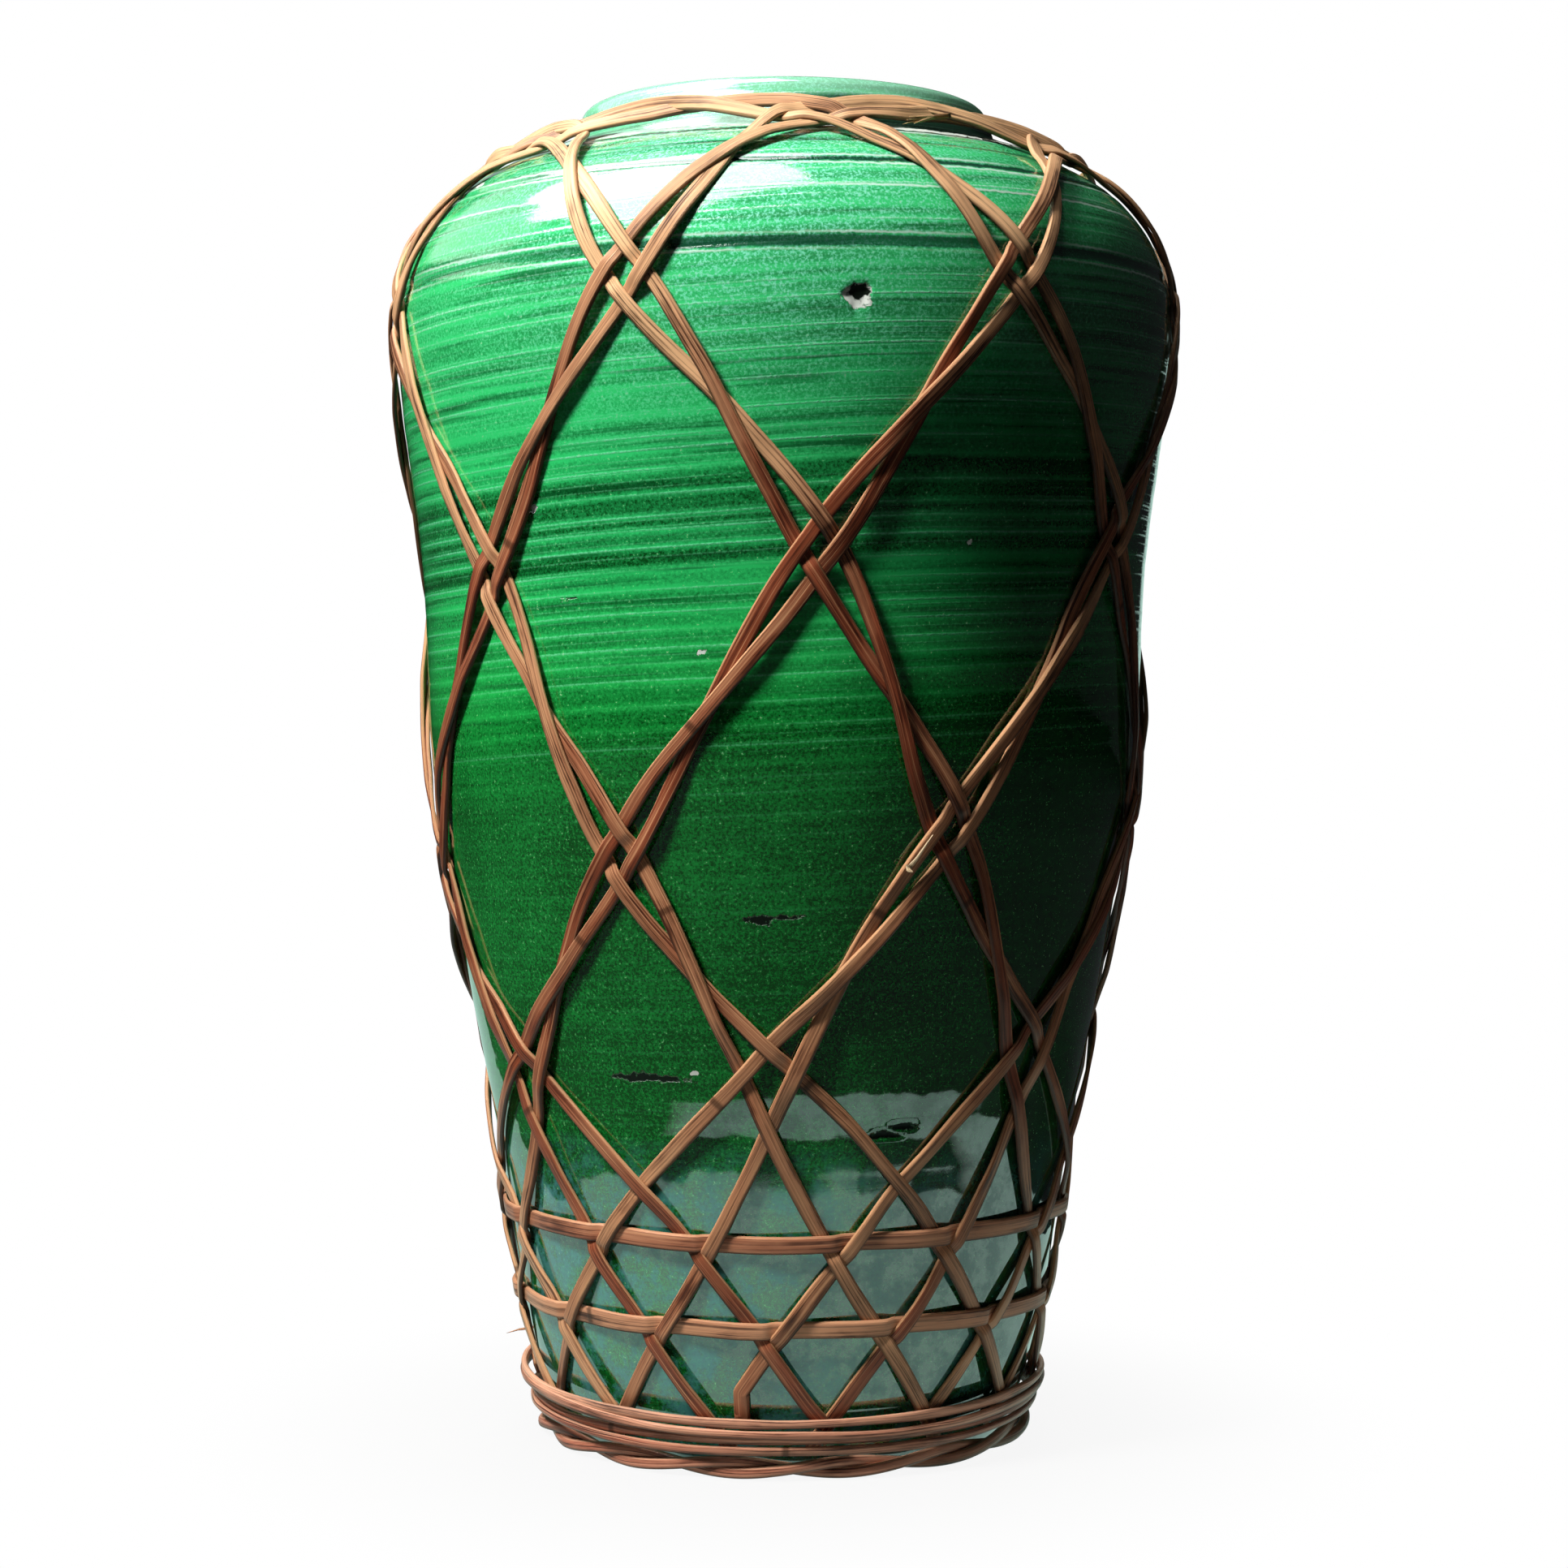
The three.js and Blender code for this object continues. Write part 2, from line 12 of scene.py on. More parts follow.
import bpy
import numpy as np
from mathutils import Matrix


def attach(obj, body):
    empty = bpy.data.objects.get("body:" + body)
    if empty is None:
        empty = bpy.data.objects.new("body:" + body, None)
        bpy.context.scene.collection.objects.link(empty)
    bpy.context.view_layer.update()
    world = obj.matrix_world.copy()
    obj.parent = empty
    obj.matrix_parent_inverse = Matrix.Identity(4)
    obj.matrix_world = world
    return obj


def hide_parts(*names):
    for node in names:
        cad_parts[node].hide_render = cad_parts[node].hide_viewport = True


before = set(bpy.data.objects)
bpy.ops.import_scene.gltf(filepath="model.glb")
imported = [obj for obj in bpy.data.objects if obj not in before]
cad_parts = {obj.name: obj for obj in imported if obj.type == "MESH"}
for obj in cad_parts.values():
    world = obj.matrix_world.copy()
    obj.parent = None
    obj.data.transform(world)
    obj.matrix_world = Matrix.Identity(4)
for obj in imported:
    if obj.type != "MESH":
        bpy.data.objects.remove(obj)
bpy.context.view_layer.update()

# %% [markdown]
# ## Small helpers
#
# A surface here is a grid of points: the rows run along a piece and the columns run round its section. One
# function turns such a grid into a closed mesh. Another adds one node to a material and links it to the nodes
# before it. Colours are written as sRGB codes, the way a paint chart gives them, and Blender's sockets want
# linear values, so a third function converts them.

# %% Colour, node and surface helpers
MM = 0.001
TURN = 2 * np.pi


def linear(code):
    """sRGB code to linear RGBA: c / 12.92 for a dark channel, ((c + 0.055) / 1.055) ** 2.4 for the rest."""
    c = np.array([int(code[i:i + 2], 16) for i in (1, 3, 5)]) / 255
    return (*np.where(c <= 0.04045, c / 12.92, ((c + 0.055) / 1.055) ** 2.4), 1.0)


def add_node(tree, kind, inputs=(), **settings):
    """Add one node, with the choice in its menu after its kind, and link it.

    Inputs are values, outputs or whole nodes, which give their first output that is on. A tuple fills the inputs
    that are on from the top, as the node shows them, and a dict names them. Settings are other properties.
    """
    kind, _, choice = kind.partition(" ")
    node = tree.nodes.new("ShaderNode" + kind)
    if choice:
        settings["data_type" if kind == "Mix" else "operation"] = choice
    for key, value in settings.items():
        setattr(node, key, value)
    if isinstance(inputs, dict):
        pairs = [(node.inputs[key], value) for key, value in inputs.items()]
    else:
        pairs = zip([socket for socket in node.inputs if socket.enabled], inputs)
    for socket, value in pairs:
        if isinstance(value, bpy.types.Node):
            value = next(out for out in value.outputs if out.enabled)
        if isinstance(value, bpy.types.NodeSocket):
            tree.links.new(value, socket)
        else:
            socket.default_value = value
    return node


def start_material(name):
    """New material with an empty node tree; returns it and the function that adds nodes to that tree."""
    material = bpy.data.materials.new(name)
    material.use_nodes = True
    material.node_tree.nodes.clear()
    return material, partial(add_node, material.node_tree)


def skin(name, points, along, material, node, fields=None):
    """Closed surface on a grid of points in mm: quads between neighbouring rows and columns, a cap on each end.

    The UV map holds the length along the piece in metres and the place round the section from 0 to 1.
    The sign of the enclosed volume, a sum of corner products, tells whether the faces have to be turned.
    """
    rows, cols = points.shape[:2]
    i, j = np.meshgrid(np.arange(rows - 1), np.arange(cols), indexing="ij")
    k = (j + 1) % cols
    quads = np.stack([i * cols + j, i * cols + k, (i + 1) * cols + k, (i + 1) * cols + j], -1).reshape(-1, 4)
    round_at = np.stack([j, j + 1, j + 1, j], -1).reshape(-1, 4) / cols
    along_at = along[np.stack([i, i, i + 1, i + 1], -1).reshape(-1, 4)]
    flat = points.reshape(-1, 3) * MM
    p, q, r, s = (flat[quads[:, c]] for c in range(4))
    volume = (np.cross(p, q) * r).sum() + (np.cross(p, r) * s).sum()
    ring = np.arange(cols)
    caps = [ring[::-1], ring + (rows - 1) * cols]
    cap_round = [ring[::-1] / cols, ring / cols]
    if volume < 0:
        quads, round_at, along_at = quads[:, ::-1], round_at[:, ::-1], along_at[:, ::-1]
        caps = [c[::-1] for c in caps]
        cap_round = [c[::-1] for c in cap_round]
    mesh = bpy.data.meshes.new(name)
    mesh.from_pydata(flat, [], quads.tolist() + [c.tolist() for c in caps])
    uv = [np.stack([along_at, round_at], -1).reshape(-1, 2)]
    uv += [np.stack([np.full(cols, along[e]), c], -1) for e, c in zip((0, -1), cap_round)]
    mesh.uv_layers.new(name="UVMap").data.foreach_set("uv", np.concatenate(uv).astype(np.float32).ravel())
    smooth = np.ones(len(quads) + 2, bool)
    smooth[-2:] = False
    mesh.polygons.foreach_set("use_smooth", smooth)
    for field, values in (fields or {}).items():
        mesh.attributes.new(field, "FLOAT", "POINT").data.foreach_set("value", values.astype(np.float32).ravel())
    mesh.materials.append(material)
    piece = bpy.data.objects.new(name, mesh)
    bpy.context.scene.collection.objects.link(piece)
    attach(piece, "root")
    if node:
        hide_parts(node)
    return piece


def wander(x, seed, period):
    """Slow irregular wave between about -1 and 1: four sines of unlike periods with seeded phases."""
    rng = np.random.default_rng(seed)
    shares = np.array([1.0, 0.61, 0.37, 0.23])
    phase = rng.uniform(0, TURN, 4)
    waves = np.sin(TURN * x[..., None] / (period * shares) + phase)
    return (waves * np.array([0.5, 0.35, 0.25, 0.15])).sum(-1)


print("helpers ready")

# %% [markdown]
# ## The outline
#
# The wall of the vase is one smooth curve of radius against height, from foot to shoulder. A potter raises it
# between two hands on the wheel, so it has no straight stretch. A centripetal Catmull-Rom curve through
# measured stations is the natural choice: it passes through each station and never loops. The bamboo lies along
# a second curve, which follows the wall and then goes straight from the shoulder ridge to the collar.

# %% Wall and guide curves
WALL_STATIONS = np.array([
    (50.9, 1.6), (55, 12), (60, 33), (64.7, 63), (75.6, 122), (80.4, 154),
    (82, 192), (87.8, 248), (85.6, 264), (77.2, 277), (62, 286.5),
])
COLLAR_STATIONS = np.array([(48.4, 295.0), (55.2, 291.25), (62.3, 287.1)])


def curve_through(stations, fine=240):
    """Centripetal Catmull-Rom: a cubic on each span; its end slopes weigh the neighbours by root of distance."""
    p = np.vstack([2 * stations[0] - stations[1], stations, 2 * stations[-1] - stations[-2]])
    gap = np.sqrt(np.hypot(*np.diff(p, axis=0).T))[:, None]
    a, b, c = gap[:-2], gap[1:-1], gap[2:]
    p0, p1, p2, p3 = p[:-3], p[1:-2], p[2:-1], p[3:]
    m1 = b * ((p1 - p0) / a - (p2 - p0) / (a + b) + (p2 - p1) / b)
    m2 = b * ((p2 - p1) / b - (p3 - p1) / (b + c) + (p3 - p2) / c)
    t = np.linspace(0, 1, fine, endpoint=False)[None, :, None]
    p1, p2, m1, m2 = p1[:, None], p2[:, None], m1[:, None], m2[:, None]
    line = p1 + m1 * t + (3 * (p2 - p1) - 2 * m1 - m2) * t**2 + (2 * (p1 - p2) + m1 + m2) * t**3
    return np.vstack([line.reshape(-1, 2), stations[-1]])


def lengths(line):
    """Distance along a line of points from its start."""
    return np.concatenate([[0], np.cumsum(np.linalg.norm(np.diff(line, axis=0), axis=1))])


wall_line = curve_through(WALL_STATIONS)
raw = curve_through(np.vstack([COLLAR_STATIONS, WALL_STATIONS[-2::-1]]))
guide_length = lengths(raw)[-1]
guide_s = np.linspace(0, guide_length, 1201)
guide_line = np.stack([np.interp(guide_s, lengths(raw), raw[:, c]) for c in (0, 1)], -1)
slope = np.gradient(guide_line, guide_s, axis=0)
slope = np.stack([np.convolve(np.pad(slope[:, c], 4, "edge"), np.ones(9) / 9, "valid") for c in (0, 1)], -1)
slope /= np.linalg.norm(slope, axis=1)[:, None]


def guide_at(s):
    """Radius, height and the two parts of the outward normal at distance s down the guide."""
    columns = (guide_line[:, 0], guide_line[:, 1], -slope[:, 1], slope[:, 0])
    return [np.interp(s, guide_s, c) for c in columns]


print("guide length %.1f mm" % guide_length)

# %% [markdown]
# ## The lacing pattern
#
# Each strip starts at the foot, climbs across the wall, passes over the shoulder beside the collar and goes
# down again on the other side. Unrolled, the pattern is regular: travel counts rows of crossings, and every
# row is half a pair step further round. A pair of strips lies to both sides of this middle line and
# changes sides between the rows, which is the twist that shows in the middle of each run. Two facts keep it
# from looking printed: the whole pattern leans and stretches a little, as hands leave it, and each strip
# gets its own small wander.

# %% Pattern values
PAIRS = 7
PAIR_STEP = TURN / PAIRS
HALF_STEP = PAIR_STEP / 2
FIRST_APEX = np.radians(-20.2)
STRIP_WIDTH, STRIP_THICKNESS, BAND_WIDTH = 3.3, 0.95, 3.9
CLEARANCE, LEVEL_RISE = 0.36, 1.06
RUN_START = 3.9
RUN_LENGTH = guide_s[np.argmax(guide_line[:, 1] <= 6.5)] - RUN_START
ROW_TRAVEL = [0, 1, 2, 3, 4, 5, 6, 6.5, 7, 7.16]
ROW_SHARE = [0, 0.0215, 0.184, 0.37, 0.568, 0.731, 0.864, 0.923, 0.983, 1]
SPREAD_TRAVEL = [0, 1, 2, 3, 4, 5, 5.5, 6, 6.5, 7, 7.16]
SPREAD = [0, 4.2, -3.35, 3.35, -3.35, 4.9, 8.8, 10.8, 10.7, 10.2, 10.1]
LEAN, STRETCH, CLIMB = np.radians(-8), np.radians(4), 6.5


def smooth_through(xs, ys, start_slope):
    """Cubic through stations; where it turns its slope is zero, elsewhere the harmonic mean of both sides."""
    xs, ys = np.array(xs, float), np.array(ys, float)
    rise = np.diff(ys) / np.diff(xs)
    same = rise[:-1] * rise[1:] > 0
    inner = np.where(same, 2 * rise[:-1] * rise[1:] / np.where(same, rise[:-1] + rise[1:], 1), 0)
    bend = np.concatenate([[start_slope], inner, [rise[-1]]])

    def at(x):
        i = np.clip(np.searchsorted(xs, x) - 1, 0, len(xs) - 2)
        h = xs[i + 1] - xs[i]
        t = (x - xs[i]) / h
        u = 1 - t
        first = u * u * ((1 + 2 * t) * ys[i] + t * h * bend[i])
        return first + t * t * ((3 - 2 * t) * ys[i + 1] - u * h * bend[i + 1])

    return at


share_at = smooth_through(ROW_TRAVEL, ROW_SHARE, 0)
spread_at = smooth_through(SPREAD_TRAVEL, SPREAD, 1.5 * SPREAD[1])


def distance_at(travel):
    """Distance down the guide at a count of rows."""
    return RUN_START + RUN_LENGTH * share_at(travel)


def place(azimuth, s, offset):
    """Pattern place to space: lean, stretch and climb move it, then it goes out from the guide by the offset."""
    share = np.clip((s - RUN_START) / RUN_LENGTH, 0, 1)
    t = np.clip((share - 0.28) / 0.46, 0, 1)
    phi = azimuth + LEAN * t * t * (3 - 2 * t) + STRETCH * np.cos(0.9 * np.pi * share) * np.sin(azimuth)
    swell = np.sin(np.pi * np.clip((share - 0.12) / 0.73, 0, 1))
    r, z, out_r, out_z = guide_at(s - CLIMB * swell * np.sin(azimuth))
    normal = np.stack([out_r * np.sin(phi), -out_r * np.cos(phi), out_z], -1)
    point = np.stack([r * np.sin(phi), -r * np.cos(phi), z], -1)
    return point + np.asarray(offset)[..., None] * normal, normal


def trace_path(side):
    """Middle line of one strip: rows to and fro about the apex, moved sideways by the spread of its pair."""
    end = ROW_TRAVEL[-1]
    u = np.linspace(-end, end, 737)
    travel, branch = np.abs(u), np.where(u < 0, -1, 1)
    s = distance_at(travel)
    fall = (distance_at(np.minimum(travel + 0.01, end)) - distance_at(np.abs(travel - 0.01))) / 0.02
    r = guide_at(s)[0]
    steep = np.arctan2(np.where(travel < 0.01, 0, fall), r * HALF_STEP)
    shift = side * branch * spread_at(travel)
    azimuth = u * HALF_STEP + branch * np.sin(steep) * shift / r
    down = s - np.cos(steep) * shift
    keep = down <= RUN_START + RUN_LENGTH
    path = dict(u=u[keep], branch=branch[keep], azimuth=azimuth[keep], s=down[keep], upper=np.sign(shift)[keep])
    r = guide_at(path["s"])[0]
    step = np.hypot(np.diff(path["azimuth"]) * r[1:], np.diff(path["s"]))
    path["length"] = np.concatenate([[0], np.cumsum(step)])
    path["heading"] = np.arctan2(np.gradient(path["s"]), np.gradient(path["azimuth"]) * r)
    return path


paths = {"a": trace_path(1), "b": trace_path(-1)}
print("strip lengths", {k: round(float(p["length"][-1]), 1) for k, p in paths.items()}, "mm")

# %% [markdown]
# ## Over and under
#
# A woven strip alternates: over one neighbour, under the next. The crossings come from the pattern itself. Two
# unrolled paths are short straight segments, and every segment of one is tested against every segment of
# the other in one array. At each crossing a strip holds its level for as long as the other one is under or
# over it, and it slopes between these places. Rounding the slopes gives the spring of real bamboo.

# %% Crossings and levels
events = {"a": [], "b": []}


def crossings(p, q, shift):
    """Where two paths meet: solve for the shares t and w of every pair of segments, keep those within 0 and 1."""
    ax, ay = np.diff(p["azimuth"])[:, None], np.diff(p["s"])[:, None]
    bx, by = np.diff(q["azimuth"])[None], np.diff(q["s"])[None]
    cx = q["azimuth"][None, :-1] + shift - p["azimuth"][:-1, None]
    cy = q["s"][None, :-1] - p["s"][:-1, None]
    cross = ax * by - ay * bx
    cross = np.where(np.abs(cross) < 1e-12, 1e9, cross)
    t, w = (cx * by - cy * bx) / cross, (cx * ay - cy * ax) / cross
    i, j = np.nonzero((t >= 0) & (t < 1) & (w >= 0) & (w < 1))
    at_p = p["length"][i] + t[i, j] * np.diff(p["length"])[i]
    at_q = q["length"][j] + w[i, j] * np.diff(q["length"])[j]
    return zip(i, j, at_p, at_q)


def hold_length(angle, own, other):
    """Half the length that a strip stays level at a crossing: the other's width and its own, along the slant."""
    slant = min(angle, np.pi - angle)
    return 1.06 * (other / 2 / np.sin(slant) + own / 2 / np.tan(slant)) + 0.1


def meet(p, q, i, j, at_p, at_q, p_over):
    """Note one crossing on both strips."""
    angle = abs(paths[p]["heading"][i] - paths[q]["heading"][j])
    hold = hold_length(angle, STRIP_WIDTH, STRIP_WIDTH)
    events[p].append((at_p, 1 if p_over else 0, hold))
    events[q].append((at_q, 0 if p_over else 1, hold))


for i, j, at_p, at_q in crossings(paths["a"], paths["b"], 0):
    meet("a", "b", i, j, at_p, at_q, int(abs(paths["a"]["u"][i])) % 2 == 1)
for row in range(1, PAIRS + 1):
    for p, q in (("a", "a"), ("a", "b"), ("b", "a"), ("b", "b")):
        for i, j, at_p, at_q in crossings(paths[p], paths[q], row * PAIR_STEP):
            if paths[p]["branch"][i] > 0 and paths[q]["branch"][j] < 0:
                meet(p, q, i, j, at_p, at_q, row >= 6 or paths[p]["upper"][i] == paths[q]["upper"][j])


def band_crossings(travel):
    """Strips that meet a level band: where their distance down passes the band's own."""
    s, found = float(distance_at(np.array(travel))), []
    for name, path in paths.items():
        for i in np.nonzero((path["s"][:-1] - s) * (path["s"][1:] - s) <= 0)[0]:
            t = (s - path["s"][i]) / (path["s"][i + 1] - path["s"][i])
            angle, over = abs(path["heading"][i]), bool(path["branch"][i] < 0)
            at = path["length"][i] + t * (path["length"][i + 1] - path["length"][i])
            events[name].append((at, 1 if over else 0, hold_length(angle, STRIP_WIDTH, BAND_WIDTH)))
            azimuth = path["azimuth"][i] + t * (path["azimuth"][i + 1] - path["azimuth"][i])
            hold = hold_length(angle, BAND_WIDTH, STRIP_WIDTH)
            found += [(azimuth + k * PAIR_STEP, 0 if over else 1, hold) for k in range(PAIRS)]
    return s, found


upper_band, lower_band = band_crossings(5.86), band_crossings(6.38)


def lift_along(found, at):
    """Height off the guide: level at each crossing, straight slopes between, then rounded by a bell curve."""
    found = sorted(found)
    stops, heights = [], []
    for n, (where, level, hold) in enumerate(found):
        start, end = where - hold, where + hold
        if n and found[n - 1][0] + found[n - 1][2] > start:
            start = where - hold * (where - found[n - 1][0]) / (hold + found[n - 1][2]) + 0.05
        if n + 1 < len(found) and found[n + 1][0] - found[n + 1][2] < end:
            end = where + hold * (found[n + 1][0] - where) / (hold + found[n + 1][2]) - 0.05
        stops += [start, end]
        heights += [CLEARANCE + level * LEVEL_RISE] * 2
    fine = np.arange(at[0] - 6, at[-1] + 6, 0.25)
    bell = np.exp(-0.5 * (np.arange(-12, 13) * 0.25 / 0.8) ** 2)
    rounded = np.convolve(np.pad(np.interp(fine, stops, heights), 12, "edge"), bell / bell.sum(), "valid")
    return np.interp(at, fine, rounded)


print("crossings on each strip:", {k: len(e) for k, e in events.items()})

# %% [markdown]
# ## Finish: green lead glaze on thrown stoneware
#
# The glaze is a clear coloured glass over pale clay. The wheel left fine rings, the glaze ran off their tops
# and gathered between them, and so the pale lines and the deep bands follow the rings. All of that is noise
# that is stretched round the vase and squeezed in height. A grain of 0.6 mm breaks it up. Painted shade darkens
# the right side and the foot of the collar. Painted light pales the upper front, the lip and the edges of the
# shoulder lines, painted glints fleck the grain, and a painted reflection of the table lies low on the foot.
# Chips and scars are fields on the mesh, so that their places are measured in millimetres and their ragged
# edges still come from noise; the first scar is a painted shadow inside a chip.

# %% Glaze material


# Bands of thin and thick glaze: height in mm and tone, within the reach of one ramp
BANDS_FROM, BANDS_SPAN = 80, 200
GLAZE_BANDS = [
    (132, 0.46), (145, 0.48), (160, 0.48), (168, 0.66), (174, 0.93), (192, 0.92), (196, 0.6),
    (204, 0.38), (209, 0.3), (213, 0.55), (217, 0.95), (230, 1.0), (252, 1.0),
]
# Lines turned into the shoulder: height in mm and shade, 0 for a groove full of dark glaze,
# 1 for a worn edge with a painted highlight
LINES_FROM, LINES_SPAN = 250, 40
SHOULDER_LINES = [
    (256.2, 0.5), (256.7, 0.95), (257.4, 0.05), (259.3, 0.05), (260.1, 0.9), (260.6, 0.5),
    (270.0, 0.5), (270.4, 0.95), (270.8, 0.5),
    (275.0, 0.5), (275.5, 1.0), (276.0, 0.0), (276.7, 0.0), (277.3, 1.0), (277.8, 0.5),
    (281.1, 0.5), (281.5, 0.1), (281.9, 0.5),
    (284.3, 0.5), (284.8, 1.0), (285.2, 0.0), (285.6, 0.0), (286.0, 1.0),
]


def glazed_stoneware():
    """Bright green glass over pale clay: rings of thin and deep glaze, chips, worn edges, painted light and shade.
    """
    material, add = start_material("green_glazed_stoneware")
    place_at = add("TexCoord").outputs["Object"]
    tilted = add("Mapping", {"Vector": place_at, "Rotation": (0, np.radians(3.0), 0)})
    height = add("SeparateXYZ", (place_at,)).outputs["Z"]
    upper = add("MapRange", (height, 0.135, 0.2, 0.06, 1.0), interpolation_type="SMOOTHSTEP")
    # Throwing rings: random steps about 4 mm apart in height, which drift by 1 mm on their way round
    drift = add("TexNoise", (place_at, 9.0, 1.0))
    level = add("SeparateXYZ", (tilted,)).outputs["Z"]
    level = add("Math MULTIPLY_ADD", (drift, 0.004, level))
    step = add("Math MULTIPLY", (level, 250.0))
    to_edge = dict(voronoi_dimensions="1D", feature="DISTANCE_TO_EDGE")
    ring_edge = add("TexVoronoi", {"W": step, "Scale": 1.0}, **to_edge)
    ring_tone = add("TexVoronoi", {"W": step, "Scale": 1.0}, voronoi_dimensions="1D").outputs["Color"]
    fine_step = add("Math MULTIPLY", (level, 640.0))
    fine_edge = add("TexVoronoi", {"W": fine_step, "Scale": 1.0}, **to_edge)
    # Brush marks 2 mm high and 60 mm long
    brush = add("Mapping", {"Vector": tilted, "Scale": (16, 16, 520)})
    brush = add("TexNoise", (brush, 1.0, 3.0, 0.6))
    fade = add("Mapping", {"Vector": tilted, "Scale": (12, 12, 200)})
    fade = add("TexNoise", (fade, 1.0, 2.0))
    # Clouds of 40 mm, where the glaze pooled, mottles of 7 mm and a grain of 0.6 mm
    clouds = add("TexNoise", (place_at, 24.0, 5.0, 0.6))
    specks = add("TexNoise", (place_at, 1600.0, 2.0, 0.7))
    mottle = add("TexNoise", (place_at, 140.0, 6.0, 0.72))
    # Each ring fades from its bright top into a dark hollow
    slope = add("MapRange", (ring_edge, 0.3, 0.0, -0.25, 0.6))
    rung = add("Math MULTIPLY_ADD", (ring_tone, 0.6, slope))
    rung = add("Math MULTIPLY", (rung, upper))
    tone = clouds
    for part, weight in ((brush, 0.45), (specks, 1.9), (mottle, 0.25), (rung, 1.0), (upper, 0.1)):
        tone = add("Math MULTIPLY_ADD", (part, weight, tone))
    # Broad bands whose edges break up into strokes of 5 mm; the noises raise the height by 8 mm on average
    run = add("Math MULTIPLY_ADD", (fade, 0.012, level))
    run = add("MapRange", (run, 0.088, 0.288))
    bands = add("ValToRGB", (run,))
    bands.color_ramp.elements[0].color = (0.38, 0.38, 0.38, 1)
    for at, shade in GLAZE_BANDS:
        bands.color_ramp.elements.new((at - BANDS_FROM) / BANDS_SPAN).color = (shade, shade, shade, 1)
    tone = add("Math ADD", (tone, bands))
    tone = add("MapRange", (tone, 2.0, 3.35, 0.02, 1.0))
    # Lighter green above 160 mm: partly paler glaze, partly painted light from above
    ripe = add("MapRange", (height, 0.16, 0.2))
    bright = add("Mix RGBA", (ripe, linear("#21b84d"), linear("#2fca6c")))
    colour = add("Mix RGBA", (tone, linear("#04420f"), bright))
    # Paler glaze over the upper front, strongest just left of the middle: partly thinner glaze, partly a painted
    # sheen of the light from above
    side_at = add("SeparateXYZ", (place_at,)).outputs["X"]
    top = add("MapRange", (height, 0.214, 0.28, 0.0, 1.35))
    for far, near, least in ((-0.07, -0.025, 0.3), (0.055, 0.0, 0.35)):
        lean = add("MapRange", (side_at, far, near, least, 1.0))
        top = add("Math MULTIPLY", (top, lean))
    grain = add("MapRange", (specks, 0.48, 0.64, 0.08, 0.85))
    top = add("Math MULTIPLY", (top, grain))
    # Duller gloss in patches where the foot stood in damp, and below 74 mm milky blue patches: a painted reflection
    # of the pale table
    damp = add("MapRange", (height, 0.1, 0.06))
    patch = add("TexNoise", (place_at, 170.0, 7.0, 0.75))
    patch = add("MapRange", (patch, 0.43, 0.57))
    film = add("Math MULTIPLY", (damp, patch))
    painted_table_reflection = add("MapRange", (height, 0.074, 0.06, 0.0, 0.5))
    painted_table_reflection = add("Math MULTIPLY", (painted_table_reflection, patch))
    # Thick glaze in the hollows of the brush marks
    deep = add("MapRange", (brush, 0.46, 0.3, 0.0, 0.75))
    deep = add("Math MULTIPLY", (deep, upper))
    # Thin glaze on the top of each ring, a line of 0.4 mm that comes and goes
    pale = add("MapRange", (ring_edge, 0.07, 0.03, 0.0, 0.75))
    hair = add("MapRange", (fine_edge, 0.14, 0.05, 0.0, 0.22))
    pale = add("Math MAXIMUM", (pale, hair))
    dry = add("MapRange", (fade, 0.38, 0.6, 0.05, 1.0), interpolation_type="SMOOTHSTEP")
    broken_up = add("MapRange", (specks, 0.4, 0.6, 0.35, 1.2))
    for share in (dry, upper, broken_up):
        pale = add("Math MULTIPLY", (pale, share))
    white = add("MapRange", (height, 0.225, 0.26))
    white = add("Mix RGBA", (white, linear("#78d8a4"), linear("#a8ecca")))
    # Painted shade over the right side, away from the lamp; on the shoulder it starts further right
    painted_right_shade = add("MapRange", (height, 0.225, 0.25, 0.0, -0.035))
    painted_right_shade = add("Math ADD", (side_at, painted_right_shade))
    painted_right_shade = add("MapRange", (painted_right_shade, 0.01, 0.05, 0.0, 0.6))
    # Paler over the lip and the collar: partly thin glaze, partly painted light from above
    thin = add("MapRange", (height, 0.2915, 0.2985, 0.0, 0.6))
    # Painted glints: small pale dots in the grain
    painted_glints = add("MapRange", (specks, 0.67, 0.75, 0.0, 0.75))
    # Turned lines, tilted by 1 degree and broken up by 2 mm noise, which raises the height by 0.45 mm on average
    ragged = add("TexNoise", (place_at, 480.0, 4.0, 0.65))
    turned = add("Mapping", {"Vector": place_at, "Rotation": (0, np.radians(1.0), 0)})
    turned = add("SeparateXYZ", (turned,)).outputs["Z"]
    turned = add("Math MULTIPLY_ADD", (ragged, 0.0009, turned))
    turned = add("MapRange", (turned, 0.25045, 0.29045))
    ramp = add("ValToRGB", (turned,))
    for stop in ramp.color_ramp.elements:
        stop.color = (0.5, 0.5, 0.5, 1)
    for at, shade in SHOULDER_LINES:
        ramp.color_ramp.elements.new((at - LINES_FROM) / LINES_SPAN).color = (shade, shade, shade, 1)
    full = add("MapRange", (ramp, 0.5, 0.0, 0.0, 0.9))
    most = add("MapRange", (side_at, -0.06, -0.025, 0.3, 1.0))
    full = add("Math MULTIPLY", (full, most))
    # Pale lines on the ridge and the groove edges: partly worn glaze, partly painted highlights
    worn = add("MapRange", (ramp, 0.55, 0.95, 0.0, 0.95))
    kept = add("MapRange", (fade, 0.36, 0.52, 0.15, 1.0))
    worn = add("Math MULTIPLY", (worn, kept))
